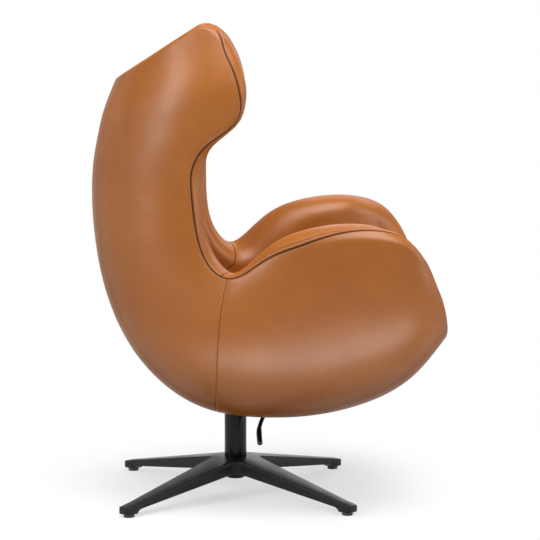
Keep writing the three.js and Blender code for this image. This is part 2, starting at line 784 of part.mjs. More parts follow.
// Seat cushion: a crowned panel with drawn-in sides, cut to the seat's form underneath
function seatCushion() {
  const steps = 14;
  const corner = cushionCornerShare;
  const points = [];
  const faces = [];
  const add = (point) => points.push(point) - 1;
  const middle = (cushionAhead - cushionBehind) / 2;
  const reach = (cushionAhead + cushionBehind) / 2;
  const plan = (p, q, out, height) => {
    const x = p * Math.sqrt(1 - (corner * q * q) / 2);
    const y = q * Math.sqrt(1 - (corner * p * p) / 2);
    const length = Math.hypot(x, y) || 1;
    return place(
      x * (shellHalfWidth - cushionSideRoom) + (x / length) * out,
      middle + y * reach + (y / length) * out,
      height,
    );
  };
  // Lines lie closer together towards the edges
  const share = (k) => Math.sin((Math.PI / 2) * (-1 + (2 * k) / steps));
  const sheet = (height) => {
    const rows = [];
    for (let i = 0; i <= steps; i++) {
      rows.push([]);
      for (let j = 0; j <= steps; j++) {
        const [p, q] = [share(j), share(i)];
        rows[i].push(add(plan(p, q, 0, height(p, q))));
      }
    }
    return rows;
  };
  const crown = (p, q) => ((1 - p ** 4) * (1 - q ** 4)) ** cushionCrownShare;
  const top = sheet((p, q) => cushionTop + cushionCrown * crown(p, q));
  const low = cushionTop - cushionSide;
  const bottom = sheet(() => low - overrun);
  const loop = [];
  for (let j = 0; j < steps; j++) loop.push([0, j]);
  for (let i = 0; i < steps; i++) loop.push([i, steps]);
  for (let j = steps; j > 0; j--) loop.push([steps, j]);
  for (let i = steps; i > 0; i--) loop.push([i, 0]);
  const belly = bellyShares.map((t) =>
    loop.map(([i, j]) =>
      add(plan(share(j), share(i), cushionBelly * Math.sin(Math.PI * t), cushionTop - cushionSide * t)),
    ),
  );
  const quad = (a, b, c, d) => faces.push(a, b, c, a, c, d);
  for (let i = 0; i < steps; i++) {
    for (let j = 0; j < steps; j++) {
      quad(top[i][j], top[i][j + 1], top[i + 1][j + 1], top[i + 1][j]);
      quad(bottom[i][j], bottom[i + 1][j], bottom[i + 1][j + 1], bottom[i][j + 1]);
    }
  }
  const edges = [loop.map(([i, j]) => top[i][j]), ...belly, loop.map(([i, j]) => bottom[i][j])];
  for (let m = 0; m < edges.length - 1; m++) {
    loop.forEach((_, k) => {
      const n = (k + 1) % loop.length;
      quad(edges[m][n], edges[m][k], edges[m + 1][k], edges[m + 1][n]);
    });
  }
  // Past the roll's crest nothing of the cushion is left outside the seat.
  const seatForm = shellLayer({
    outer: () => -4 * overrun,
    inner: (vertex) => vertex.padding + seatGap,
    from: splitRow - backRowsByCushion,
    edge: (vertex) => [
      [3 * overrun, -4 * overrun],
      [3 * overrun, padArc(vertex, -seatGap)[0][1]],
      ...padArc(vertex, -seatGap),
    ],
  });
  return meshSolid(points, faces).subtract(made(seatForm));
}

// Base: four tapered legs joined at the hub, a bore for the column and flat feet
function legSolid() {
  const taper = (radius) => {
    const share = Math.max(0, (radius - legTaperStart) / (legReach - footLength - legTaperStart));
    return legRootWidth / 2 + (legTipWidth / 2 - legRootWidth / 2) * Math.min(1, share);
  };
  const footStart = legReach - footLength;
  const top = (radius) => {
    const share = Math.max(0, (radius - legTaperStart) / (legReach - legTaperStart));
    return hubTop + (footTop - hubTop) * share;
  };
  const under = (radius) => {
    const share = Math.min(1, Math.max(0, (radius - legTaperStart) / (footStart - legTaperStart)));
    return hubUnder + (archUnder - hubUnder) * share;
  };
  const stations = [
    [0, hubUnder],
    [legTaperStart, hubUnder],
    [(legTaperStart + footStart) / 2, under((legTaperStart + footStart) / 2)],
    [footStart - footChamfer, under(footStart - footChamfer)],
    [footStart + footChamfer / 2, (archUnder + footUnder) / 2],
    [footStart + footChamfer, footUnder],
    [legReach - footChamfer, footUnder],
    [legReach, footUnder + footChamfer / 2],
  ];
  const points = [];
  const faces = [];
  stations.forEach(([radius, bottom], k) => {
    const isTip = k === stations.length - 1;
    const half = taper(radius) - (isTip ? footChamfer : 0);
    const high = top(radius) - (isTip ? legBevel : 0);
    const foot = half - legBevel;
    points.push(
      new THREE.Vector3(radius, -half, high - legBevel),
      new THREE.Vector3(radius, -half + legBevel, high),
      new THREE.Vector3(radius, half - legBevel, high),
      new THREE.Vector3(radius, half, high - legBevel),
      new THREE.Vector3(radius, foot, bottom),
      new THREE.Vector3(radius, -foot, bottom),
    );
  });
  const sides = 6;
  for (let k = 0; k < stations.length - 1; k++) {
    for (let m = 0; m < sides; m++) {
      const a = k * sides + m;
      const b = k * sides + ((m + 1) % sides);
      faces.push(a, b, b + sides, a, b + sides, a + sides);
    }
  }
  const end = (stations.length - 1) * sides;
  for (let m = 1; m < sides - 1; m++) {
    faces.push(0, m + 1, m);
    faces.push(end, end + m, end + m + 1);
  }
  return meshSolid(points, faces);
}

function legDegrees(k) {
  return 45 + 90 * k + baseTurn;
}

function baseStar() {
  const leg = legSolid();
  let star = null;
  for (let k = 0; k < 4; k++) {
    const turnedLeg = leg.rotate([0, 0, legDegrees(k)]).translate([0, columnY, 0]);
    star = star ? star.add(turnedLeg) : turnedLeg;
  }
  return star.subtract(rod(columnRadius + runGap, -overrun, hubTop + overrun));
}

function glidePlaces() {
  const radius = legReach - glideInset;
  return [0, 1, 2, 3].map((k) => {
    const angle = THREE.MathUtils.degToRad(legDegrees(k));
    return [radius * Math.cos(angle), -radius * Math.sin(angle)];
  });
}

function upperBush() {
  const inner = spindleRadius + runGap;
  const outer = boreRadius - runGap;
  const low = columnTop - bushLength;
  const high = flangeFoot + bushFlange;
  return turned([
    [inner, low], [outer, low], [outer, flangeFoot], [columnRadius, flangeFoot], [columnRadius, high],
    [inner, high], [inner, low],
  ]);
}

function spindle() {
  const shoulderTop = shoulderFoot + shoulderHeight;
  const top = nutFoot + nutHeight + neckAboveNut;
  return turned([
    [0, spindleFoot], [spindleRadius, spindleFoot], [spindleRadius, shoulderFoot],
    [shoulderRadius, shoulderFoot], [shoulderRadius, shoulderTop], [neckRadius, shoulderTop],
    [neckRadius, top], [0, top],
  ]);
}

function hexNut(bore, radius, low, high) {
  const sides = 6;
  return rod(radius, low, high, 0, 0, sides).subtract(rod(bore, low - overrun, high + overrun));
}

// Part of a circle round the pivot, [forward, height]; from and to are shares of a half turn
function pivotArc(from, to) {
  const steps = 8;
  return Array.from({ length: steps + 1 }, (_, k) => {
    const angle = Math.PI * (from + ((to - from) * k) / steps);
    return [pivotForward + pivotBoss * Math.cos(angle), pivotHeight + pivotBoss * Math.sin(angle)];
  });
}

// Pressed pan that carries the rocking shaft
function mechanismPan() {
  const low = panUnder;
  const boss = pivotArc(bossShares[1], bossShares[0]);
  const frontTop = plateUnder - frontStopHeight - 2 * seatGap;
  const outline = [
    [-panBehind, low], [-panBehind, panFloor + panBackHeight], ...boss, [panAhead, frontTop], [panAhead, low],
  ];
  const inner = panHalfWidth - panWall;
  const parts = [
    block([-inner - panWall / 2, inner + panWall / 2], [-panBehind, panAhead], [low, panFloor]),
    block([-inner - panWall / 2, inner + panWall / 2], [-panBehind, -panBehind + panWall],
      [low, panFloor + panBackHeight]),
    block([-inner - panWall / 2, inner + panWall / 2], [panAhead - panWall, panAhead], [low, frontTop]),
    block([-frontStopHalfWidth, frontStopHalfWidth], [panAhead - frontStopLength, panAhead],
      [low, frontTop]),
    sidePlate(outline, inner, panHalfWidth),
  ];
  const sideways = sidePlate(outline, -panHalfWidth, -inner);
  const pan = parts.reduce((body, piece) => body.add(piece), sideways);
  const slot = block(
    [leverAcross + tongueOffset - tongueThickness - slotSide, sectorAcross],
    [leverForward - tongueHalfLength - slotEnd, leverForward + tongueHalfLength + slotEnd],
    [low - overrun, panFloor + seatGap],
  );
  const bushHole = shaftRadius + runGap + bushWall + runGap;
  return pan
    .subtract(rod(neckRadius + runGap, low - overrun, panFloor + overrun))
    .subtract(rodAcross(bushHole, -panHalfWidth - overrun, panHalfWidth + overrun, pivotForward, pivotHeight))
    .subtract(slot);
}

function pivotBush(side) {
  const inner = shaftRadius + runGap;
  const outer = inner + bushWall;
  const from = panHalfWidth - panWall;
  const collar = panHalfWidth + seatGap;
  const end = collar + bushCollar;
  const profile = [
    [inner, from], [outer, from], [outer, collar], [bushCollarRadius, collar], [bushCollarRadius, end],
    [inner, end], [inner, from],
  ].map(([radius, along]) => [radius, side * along]);
  return turnedAcross(profile, pivotForward, pivotHeight);
}

const earFrom = panHalfWidth + seatGap + bushCollar + seatGap;
const earTo = earFrom + earThickness;
const shaftNutFrom = earTo + seatGap;

function boltPlaces() {
  const across = plateHalfWidth - boltInset;
  return [
    [-across, -plateBehind + boltInset], [across, -plateBehind + boltInset],
    [-across, plateAhead - boltInset], [across, plateAhead - boltInset],
  ];
}

function seatPlate() {
  const boss = pivotArc(earShares[0], earShares[1]);
  const top = plateUnder + plateThickness / 2;
  const outline = [[pivotForward - earHalfLength, top], ...boss, [pivotForward + earHalfLength, top]];
  let plate = roundBlock(
    plateHalfWidth,
    plateBehind,
    plateAhead,
    boltInset,
    plateUnder,
    plateTop,
  );
  plate = plate.add(sidePlate(outline, earFrom, earTo)).add(sidePlate(outline, -earTo, -earFrom));
  boltPlaces().forEach(([across, forward]) => {
    const hole = rod(boltRadius + runGap, plateUnder - overrun, plateTop + overrun, across, forward, 16);
    plate = plate.subtract(hole);
  });
  return plate.subtract(
    rodAcross(shaftRadius + runGap, -earTo - overrun, earTo + overrun, pivotForward, pivotHeight),
  );
}

function seatBolt(across, forward) {
  const headTop = plateUnder - seatGap;
  const head = rod(boltHeadRadius, headTop - boltHeadHeight, headTop, across, forward, 6);
  return head.add(rod(boltRadius, headTop - boltHeadHeight / 2, plateTop + boltReach, across, forward, 16));
}

function rearStop() {
  // The plate's underside at full rock, over the stop's rear edge
  const lean = THREE.MathUtils.degToRad(rockDegrees);
  const rearEdge = stopForward - stopRadius - pivotForward;
  const over = pivotHeight + plateUnderPivot / Math.cos(lean) + rearEdge * Math.tan(lean);
  return rod(stopRadius, panFloor + seatGap, over - stopClear, 0, stopForward, 24);
}

function frontStop() {
  const top = plateUnder - seatGap;
  return block(
    [-frontStopHalfWidth, frontStopHalfWidth],
    [panAhead - frontStopLength, panAhead],
    [top - frontStopHeight, top],
  );
}

function lockSector() {
  const top = plateUnder - seatGap;
  const low = top - sectorDrop;
  const outline = [
    [sectorBehind, top], [sectorBehind, low + sectorThickness], [sectorBehind + sectorThickness, low],
    [sectorAhead - sectorThickness, low], [sectorAhead, low + sectorThickness], [sectorAhead, top],
  ];
  return sidePlate(outline, sectorAcross, sectorAcross + sectorThickness);
}

// Lever
const leverPath = new THREE.CatmullRomCurve3(
  leverPathShares.map(([out, sway, fall]) =>
    place(leverAcross - leverOut * out, leverForward - leverSway * sway, leverHeight - leverFall * fall),
  ),
);

function alongLever(radius, from, to, steps) {
  const spots = Array.from({ length: steps + 1 }, (_, k) =>
    leverPath.getPointAt(from + ((to - from) * k) / steps),
  );
  const shape = new THREE.Shape();
  shape.absarc(0, 0, radius, 0, 2 * Math.PI, false);
  const geometry = new THREE.ExtrudeGeometry(shape, {
    steps,
    curveSegments: 4,
    extrudePath: new THREE.CatmullRomCurve3(spots),
    bevelEnabled: false,
  });
  return solid(geometry);
}

const gripFromShare = 1 - gripLength / leverPath.getLength();

function leverRod() {
  const barrel = rodAlong(
    leverBarrelRadius, leverForward - leverBarrelHalf, leverForward + leverBarrelHalf, leverAcross, leverHeight,
  );
  const bore = rodAlong(
    leverPinRadius + runGap, leverForward - overrun, leverForward + overrun, leverAcross, leverHeight,
  );
  const half = tongueThickness / 2;
  const right = leverAcross + tongueOffset;
  const top = leverHeight + tongueRise;
  const outline = [
    [leverAcross, leverHeight - half], [leverAcross + half, leverHeight], [right + half, leverHeight + 2 * half],
    [right + half, top - half], [right + half + tongueTip, top - half], [right + half + tongueTip, top + half],
    [right - half, top + half], [right - half, leverHeight + 3.5 * half], [leverAcross, leverHeight + half],
  ];
  const shape = new THREE.Shape(outline.map(([x, z]) => new THREE.Vector2(x, z)));
  const tongue = new THREE.ExtrudeGeometry(shape, { depth: 2 * tongueHalfLength, bevelEnabled: false });
  tongue.rotateX(Math.PI / 2);
  tongue.translate(0, columnY - leverForward + tongueHalfLength, 0);
  return barrel.add(solid(tongue)).add(alongLever(leverRodRadius, 0, 1 - gripRadius / leverPath.getLength(), 10))
    .subtract(bore);
}

function leverGrip() {
  const end = leverPath.getPointAt(1);
  const cap = new THREE.SphereGeometry(gripRadius, 8, 6);
  cap.translate(end.x, end.y, end.z);
  const sleeve = alongLever(gripRadius, gripFromShare, 1, 5).add(solid(cap));
  const rodEnd = 1 - (gripRadius - seatGap) / leverPath.getLength();
  return sleeve.subtract(alongLever(leverRodRadius + runGap, gripFromShare - leverBoreShare, rodEnd, 7));
}

function leverBracket() {
  const low = leverHeight - bracketDrop;
  const high = panUnder - seatGap;
  const outer = leverBarrelHalf + seatGap + bracketEar;
  const inner = leverBarrelHalf + seatGap;
  const across = [leverAcross - bracketHalfWidth, leverAcross + bracketHalfWidth / 3];
  const base = block(across, [leverForward - outer, leverForward + outer], [high - bracketBase, high]);
  const ears = [
    block(across, [leverForward - outer, leverForward - inner], [low, high]),
    block(across, [leverForward + inner, leverForward + outer], [low, high]),
  ];
  const hole = rodAlong(
    leverPinRadius + runGap, leverForward - overrun, leverForward + overrun, leverAcross, leverHeight,
  );
  return base.add(ears[0]).add(ears[1]).subtract(hole);
}

// Materials
const paint = (color, roughness, metalness) => new THREE.MeshStandardMaterial({ color, roughness, metalness });
const leather = paint(0xa0622d, 0.45, 0);
const blackPaint = paint(0x1b1c1e, 0.5, 0.3);
const glossBlack = paint(0x0c0d0f, 0.15, 0.4);
const steel = paint(0x9a9da0, 0.35, 1);
const blackPlastic = paint(0x151515, 0.6, 0);
const whitePlastic = paint(0xd8d8d0, 0.5, 0);
const rubber = paint(0x202020, 0.9, 0);
const mouldedShell = paint(0x3a3a38, 0.7, 0);
const plywood = paint(0xb98d5a, 0.7, 0);

// Assembly
const chair = new THREE.Group();
const base = new THREE.Group();
const swivel = new THREE.Group();
const lever = new THREE.Group();
const seat = new THREE.Group();
swivel.add(lever, seat);
base.add(swivel);
chair.add(base);

function piece(group, name, body, material) {
  const mesh = new THREE.Mesh(geometryOf(body), material);
  mesh.name = name;
  group.add(mesh);
}

piece(base, "base_star", baseStar(), blackPaint);
glidePlaces().forEach(([across, forward], k) => {
  piece(base, `foot_glide_${k + 1}`, rod(glideRadius, 0, footUnder - seatGap, across, forward, 20), blackPlastic);
});
piece(base, "column_tube", ring(boreRadius, columnRadius, hubUnder, columnTop), glossBlack);
piece(base, "column_cap", rod(capRadius, hubUnder - seatGap - capHeight, hubUnder - seatGap), blackPlastic);
piece(base, "lower_bush",
  ring(spindleRadius + runGap, boreRadius - runGap, lowerBushFoot, lowerBushFoot + bushLength), whitePlastic);
piece(base, "upper_bush", upperBush(), whitePlastic);
piece(base, "thrust_washer",
  ring(spindleRadius + runGap, washerRadius, washerFoot, washerFoot + washerHeight), steel);

const clipFoot = lowerBushFoot - seatGap - clipHeight;
piece(swivel, "spindle", spindle(), steel);
piece(swivel, "spindle_clip", ring(spindleRadius + runGap, clipRadius, clipFoot, clipFoot + clipHeight), steel);
piece(swivel, "mechanism_pan", mechanismPan(), blackPaint);
piece(swivel, "spindle_nut", hexNut(neckRadius + runGap, nutRadius, nutFoot, nutFoot + nutHeight), steel);
piece(swivel, "pivot_bush_left", pivotBush(-1), whitePlastic);
piece(swivel, "pivot_bush_right", pivotBush(1), whitePlastic);
const sleeveOuter = panHalfWidth - panWall - seatGap;
const sleeve = (from, to) =>
  ringAcross(shaftRadius + runGap, sleeveRadius, from, to, pivotForward, pivotHeight);
piece(swivel, "torsion_sleeve_left", sleeve(-sleeveOuter, -sleeveInner), rubber);
piece(swivel, "torsion_sleeve_right", sleeve(sleeveInner, sleeveOuter), rubber);
piece(swivel, "rear_stop", rearStop(), rubber);
piece(swivel, "front_stop", frontStop(), rubber);
piece(swivel, "lever_bracket", leverBracket(), steel);
const pinReach = leverBarrelHalf + 2 * seatGap + bracketEar + leverPinRadius;
piece(swivel, "lever_pin",
  rodAlong(leverPinRadius, leverForward - pinReach, leverForward + pinReach, leverAcross, leverHeight, 16), steel);

piece(lever, "lever_rod", leverRod(), blackPaint);
piece(lever, "lever_grip", leverGrip(), blackPlastic);

const shaftEnd = shaftNutFrom + shaftNutHeight + shaftTail;
const shaftNut = (from, to) =>
  rodAcross(shaftNutRadius, from, to, pivotForward, pivotHeight, 6).subtract(
    rodAcross(shaftRadius + runGap, from - overrun, to + overrun, pivotForward, pivotHeight),
  );
piece(seat, "pivot_shaft", rodAcross(shaftRadius, -shaftEnd, shaftEnd, pivotForward, pivotHeight), steel);
piece(seat, "pivot_nut_left", shaftNut(-shaftNutFrom - shaftNutHeight, -shaftNutFrom), steel);
piece(seat, "pivot_nut_right", shaftNut(shaftNutFrom, shaftNutFrom + shaftNutHeight), steel);
piece(seat, "seat_plate", seatPlate(), blackPaint);
piece(seat, "lock_sector", lockSector(), steel);
boltPlaces().forEach(([across, forward], k) => {
  piece(seat, `seat_bolt_${k + 1}`, seatBolt(across, forward), steel);
});
piece(seat, "mounting_block", mountingBlock(), plywood);
piece(seat, "bottom_collar", bottomCollar(), blackPlastic);
piece(seat, "shell_core", shellCore(), mouldedShell);
piece(seat, "outer_cover_rear", outerCover(0, seamRow), leather);
piece(seat, "outer_cover_front", outerCover(seamRow, lastRow), leather);
piece(seat, "inner_back_pad", innerPad(0, splitRow), leather);
piece(seat, "inner_seat_pad", innerSeatPad(), leather);
piece(seat, "seat_cushion", seatCushion(), leather);

export default chair;
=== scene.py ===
"""Looks of a leather shell chair that turns and rocks on a black four-legged base."""

import json
import math

import bmesh
import bpy
import numpy as np
from bpy.props import FloatProperty, FloatVectorProperty, IntProperty, PointerProperty
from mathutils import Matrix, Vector, noise
from mathutils.bvhtree import BVHTree
from mathutils.geometry import tessellate_polygon
from mathutils.kdtree import KDTree


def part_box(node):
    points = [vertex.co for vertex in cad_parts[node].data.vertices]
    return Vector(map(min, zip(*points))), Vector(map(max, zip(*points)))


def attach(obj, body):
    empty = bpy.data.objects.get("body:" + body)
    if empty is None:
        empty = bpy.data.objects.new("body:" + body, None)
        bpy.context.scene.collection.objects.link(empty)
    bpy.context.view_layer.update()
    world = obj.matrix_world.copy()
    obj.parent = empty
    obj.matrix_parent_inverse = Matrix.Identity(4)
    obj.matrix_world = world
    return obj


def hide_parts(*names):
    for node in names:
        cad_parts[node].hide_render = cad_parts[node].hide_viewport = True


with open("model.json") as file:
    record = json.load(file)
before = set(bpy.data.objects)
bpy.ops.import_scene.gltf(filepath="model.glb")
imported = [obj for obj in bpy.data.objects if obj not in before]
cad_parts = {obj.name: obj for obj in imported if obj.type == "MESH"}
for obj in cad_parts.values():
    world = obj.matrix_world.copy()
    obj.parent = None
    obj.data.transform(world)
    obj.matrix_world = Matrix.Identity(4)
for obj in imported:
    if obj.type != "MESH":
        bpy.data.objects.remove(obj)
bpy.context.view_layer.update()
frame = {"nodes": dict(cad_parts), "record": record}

bl_info = {
    "name": "Swivel rocker",
    "version": (1, 0, 0),
    "blender": (4, 5, 0),
    "location": "3D View > Sidebar > Chair",
    "description": "Builds the looks of a leather shell chair on a swivel and rocker base",
    "category": "Object",
}

MM = 0.001

# Vertices this near to each other are merged, and edges this near to a line lie on it.
DOUBLES = 0.00001
TOUCH = 1e-5

# The shell's form, in metres: the same stations and shares as the frame was made from.
COLUMN_Y = 0.077
DEPTH, RISE, GROUND, HALF_WIDTH, BEHIND = 0.794, 0.850, 0.188, 0.402, 0.320
EDGE_ROLL, RIM_PADDING, DECK_PADDING = 0.025, 0.120, 0.142
COVER, CORE_DEPTH, PAD_DEPTH = 0.010, 0.0103, 0.0203
INNER_SHIFT = -COVER / 8
STATIONS = np.array([
    [0.068, 0.887, 0.31, 1.028, 0.577, 2],
    [0.034, 0.807, 0.358, 0.909, 0.707, 2],
    [0.015, 0.734, 0.369, 0.821, 0.743, 2],
    [0.001, 0.649, 0.341, 0.725, 0.731, 2.05],
    [0, 0.545, 0.309, 0.62, 0.716, 2.1],
    [0.013, 0.427, 0.3, 0.52, 0.726, 2.2],
    [0.055, 0.278, 0.314, 0.439, 0.764, 2.25],
    [0.151, 0.128, 0.364, 0.381, 0.829, 2.3],
    [0.321, 0.019, 0.449, 0.376, 0.901, 2.35],
    [0.541, -0.003, 0.57, 0.422, 0.966, 2.4],
    [0.716, 0.02, 0.705, 0.463, 1, 2.4],
    [0.876, 0.09, 0.864, 0.449, 0.986, 2.35],
    [0.988, 0.212, 0.947, 0.377, 0.841, 2.3],
])
LAST = len(STATIONS) - 1
RIM_DEGREES = [
    (0, 95.7), (0.5, 95.3), (1, 95.2), (1.7, 95.2), (2.1, 95.5), (2.4, 93.5), (2.7, 85.3),
    (3, 81.7), (3.5, 81.2), (4, 83.4), (5, 86.9), (6, 90.2), (7, 93.6), (7.5, 96.5), (8, 99.8),
    (9, 97.8), (10, 95.3), (11, 95.8), (12, 94.2),
]
ROLL_SHARES = [
    (0, 0.5), (0.5, 1.09), (1, 1.2), (2, 0.99), (2.6, 0.88), (3.2, 1.13), (4, 1.2), (5, 1.13),
    (6, 1.14), (7, 1.23), (7.8, 1.84), (8.5, 1.94), (9.5, 1.64), (10.6, 1.15), (11.3, 0.68),
    (12, 0.53),
]
SEAM_DEGREES = [
    (0, 83.8), (0.25, 39.1), (0.5, 14), (0.9, 14.4), (1.6, 24), (2.2, 37.3), (2.7, 34.2),
    (3.1, 21.8), (3.6, 17.3), (5, 23.1), (6.3, 17.9), (7, 18.2), (9, 16.1), (10, 40), (11, 56),
    (12, 35.9),
]
RIM_PADDING_SHARES = [
    (0, 0.49), (1, 0.51), (2, 0.55), (3, 0.64), (4, 0.76), (5, 0.83), (6, 0.89), (7, 0.94),
    (8, 1.02), (9, 1.06), (10, 1.05), (11, 0.73), (12, 0.47),
]
MIDDLE_PADDING_SHARES = [
    (0, 0.36), (1, 0.4), (2, 0.43), (3, 0.47), (4, 0.53), (5, 0.64), (6, 0.79), (7, 0.91),
    (8, 0.97), (9, 1), (10, 0.92), (11, 0.66), (12, 0.38),
]
EAR_CORNER, ARM_CORNER = (0.42, 0.105), (0.6, 0.15)
PADDING_FROM, PADDING_TO = 0.15, 0.82
PANEL_SEAM, PANEL_RISE, PANEL_POWER = 8.13, 1.12, 2.5
PAD_SPLIT = 6.75
METRES_PER_STATION = 0.19
DEGREES = np.arange(181.0)

# Along the rim: how far its direction is read to each side, how many points overlap where it
# closes, and how many rows and columns inwards a point surely lies inside.
RIM_REACH, RIM_OVERLAP = 0.004, 8
INNER_ROWS, INNER_COLUMNS = 6, 3

# Seams. Rings, lip, fade and widths are distances over the hide from the seam, in millimetres.
COVER_SHARES = (0.8, 0.6, 0.42)
COVER_RINGS = (7, 5.6, 4.4, 3.4, 2.5, 1.7, 1.1, 0.7, 0.35)
COVER_REACH = 13
PAD_RINGS = (0.35, 0.7, 1.1, 1.7, 2.5, 3.4, 4.4, 5.6, 7.2, 8.8, 9.8, 10.5, 11, 11.5, 12.2, 13.4, 15)
PAD_UNDER = 0.45
PAD_STEPS = 12
SEAM_LIP, SEAM_FADE = 0.35, 1.25
PUFF_HEIGHT, PUFF_PLACE, PUFF_WIDTH = 0.0008, 4.4, 2.0
GROOVE_DEPTH, GROOVE_WIDTH = 0.0011, 0.7
CORE_GAP = 0.0003
STITCH_LINE = 11 * MM
SPLIT_STITCH = 6.5 * MM
ARM_FROM, ARM_TO = (7.3, 7.7), (10.6, 11.3)

# The block that cuts the cover's mouth: its play round the collar, corners, middle's height, thickness
MOUTH_GAP, MOUTH_CORNER, MOUTH_PLACE, MOUTH_CUT = 0.0006, 0.026, 0.2, 0.1

# Threads, in metres; a stitch is this share of the welt's in length.
WELT_INSET, WELT_SINK = 0.0032, 0.0005
ARM_THREAD, SPLIT_THREAD = 0.00042, 0.00045
THREAD_SINK, THREAD_INSET, SPLIT_INSET = 0.0006, 0.0006, 0.0025
STITCH_SHARE = 0.8
THREAD_SIDES, THREAD_WAIST, POINTS_PER_STITCH = 7, 0.72, 4

# Where the seat's padding is evened out: away from the edge seam, to the front, across
EVEN_FROM_SEAM, EVEN_TO_FRONT, EVEN_ACROSS = (0.012, 0.04), (0.19, 0.27), (0.12, 0.2)
EVEN_ROUNDS = 40

# The cushion: below this height it swells by a share only; the piping's height is a share of its own.
CUSHION_LOW, LOW_SWELL = 0.38, 0.35
PIPING_SHARE, PIPING_PITCH, PIPING_POINTS, PIPING_ROUNDS = 0.79, 0.012, 220, 4
OUTSIDE_CUSHION = 0.6
FILLING = {
    "quality": 5, "mass": 0.3, "tension_stiffness": 25, "compression_stiffness": 25,
    "use_pressure": True, "uniform_pressure_force": 4,
}

# Base, column and lever, in metres and degrees. A leg narrows from its root to its foot.
LEG = {"root": 0.070, "tip": 0.029, "reach": 0.356, "start": 0.035, "foot": 0.038, "turn": 46.3}
LEG_HEIGHTS = {"hub": 0.0835, "hub_under": 0.0524, "tip": 0.022, "arch": 0.015, "foot": 0.0063}
LEG_STOPS = (0.10, 0.176, 0.25)
FOOT_FROM = LEG["reach"] - LEG["foot"]
FOOT_STEP = 0.005
TOE_CORNER, TOE_LIFT = 0.005, 0.0025
BLANK_DEPTH = 0.02
BORE_RADIUS = 0.0253
TUBE_WALL = 0.003
LEVER_PIN = Vector((-0.034, COLUMN_Y - 0.066, 0.188))
LEVER_SPAN = (0.116, 0.013, 0.044)
LEVER_SHARES = [(0, 0, 0), (0.22, 0.5, 0.23), (0.52, 1, 0.52), (1, 0.95, 1)]
LEVER_STEPS = 14
BAR_RADIUS, BAR_IN_GRIP, BARREL_REACH = 0.0046, 0.01, 0.012
GRIP_LENGTH, GRIP_RADIUS, GRIP_NECK, GRIP_FLARE = 0.062, 0.0063, 0.84, 0.02
GRIP_LIP, GRIP_LIP_RADIUS = 0.0012, 0.0047
DOME_STEPS, DOME_END = 8, 0.0002

# Stage: floor and walls, and the ellipse round the column that keeps the chair's shadow
FLOOR_SIZE, WALL_HEIGHT = 36, 6
SHADOW_REACH, SHADOW_FROM = (0.86, 0.62), 0.4
LIGHTS_AIM = Vector((0, 0, 0.55))
LOW_SPREAD = math.radians(115)
LAMPS = (
    ("top_light", "top", (2.6, 2.6), (-0.6, -0.2, 3.4)),
    ("key_light", "key", (1.8, 1.8), (-1.8, -1.0, 3.1)),
    ("front_light", "front", (2.0, 2.4), (-0.6, -3.6, 1.5)),
    ("strip_light", "strip", (1.1, 2.6), (-1.6, 3.0, 2.2)),
    ("far_light", "far", (2.4, 2.0), (2.9, -0.9, 2.0)),
    ("low_light", "low", (0.3, 1.2), (-0.62, -0.05, 0.015)),
)

# The view from the side, at the photograph's distance and height
CAMERA_PLACE = (-4.9516, COLUMN_Y + 0.0078, 1.131)
CAMERA_YAW, CAMERA_PITCH = math.radians(1.0), 0.12464
CAMERA_SENSOR = 36
CAMERA_LENS = 2206.66 / 540 * CAMERA_SENSOR


class LeatherSettings(bpy.types.PropertyGroup):
    """Hide on the shell and the cushion."""

    hide: FloatVectorProperty(
        name="Hide", description="Main colour of the hide", subtype="COLOR", size=3, min=0, max=1,
        default=(0.345, 0.110, 0.016),
    )
    shade: FloatVectorProperty(
        name="Shade", description="Darker colour of the hide's clouding", subtype="COLOR", size=3, min=0,
        max=1, default=(0.275, 0.082, 0.011),
    )
    roughness: FloatProperty(
        name="Roughness", description="Roughness of the hide's finish", subtype="FACTOR", min=0, max=1,
        default=0.36,
    )
    grain: FloatProperty(
        name="Grain", description="Width of a pebble of the grain", unit="LENGTH", min=0.0003,
        default=0.0014,
    )
    relief: FloatProperty(
        name="Relief", description="Height of the grain", unit="LENGTH", min=0, default=0.00016,
    )


class SeamSettings(bpy.types.PropertyGroup):
    """Seams and stitches."""

    depth: FloatProperty(
        name="Depth", description="How deep the hide turns into a seam", unit="LENGTH", min=0,
        default=0.006,
    )
    shallow: FloatProperty(
        name="Upright depth", description="The same for the cover's upright seam", unit="LENGTH", min=0,
        default=0.0012,
    )
    thread: FloatVectorProperty(
        name="Thread", description="Colour of the thread and the welt", subtype="COLOR", size=3, min=0,
        max=1, default=(0.018, 0.006, 0.003),
    )
    welt: FloatProperty(
        name="Welt", description="Radius of the stitched welt in the edge seam", unit="LENGTH", min=0,
        default=0.0019,
    )
    stitch: FloatProperty(
        name="Stitch", description="Length of a stitch with its gap", unit="LENGTH", min=0.001,
        default=0.0055,
    )


class CushionSettings(bpy.types.PropertyGroup):
    """Loose seat cushion."""

    swell: FloatProperty(
        name="Swell", description="Most that the filling pushes the cushion out", unit="LENGTH", min=0,
        default=0.010,
    )
    voxel: FloatProperty(
        name="Voxel", description="Mesh size for the filling", unit="LENGTH", min=0.003, default=0.0065,
    )
    frames: IntProperty(name="Frames", description="Steps of the filling", min=1, default=20)
    root: FloatProperty(
        name="Root", description="How far its lower side starts inside the padding", unit="LENGTH", min=0,
        default=0.014,
    )
    press: FloatProperty(
        name="Press", description="Within this of the seat the cushion lies on it", unit="LENGTH", min=0,
        default=0.003,
    )
    sink: FloatProperty(
        name="Sink", description="How far its lower edge sinks into the padding", unit="LENGTH", min=0,
        default=0.0008,
    )
    piping: FloatProperty(
        name="Piping", description="Radius of the piping", unit="LENGTH", min=0, default=0.0032,
    )


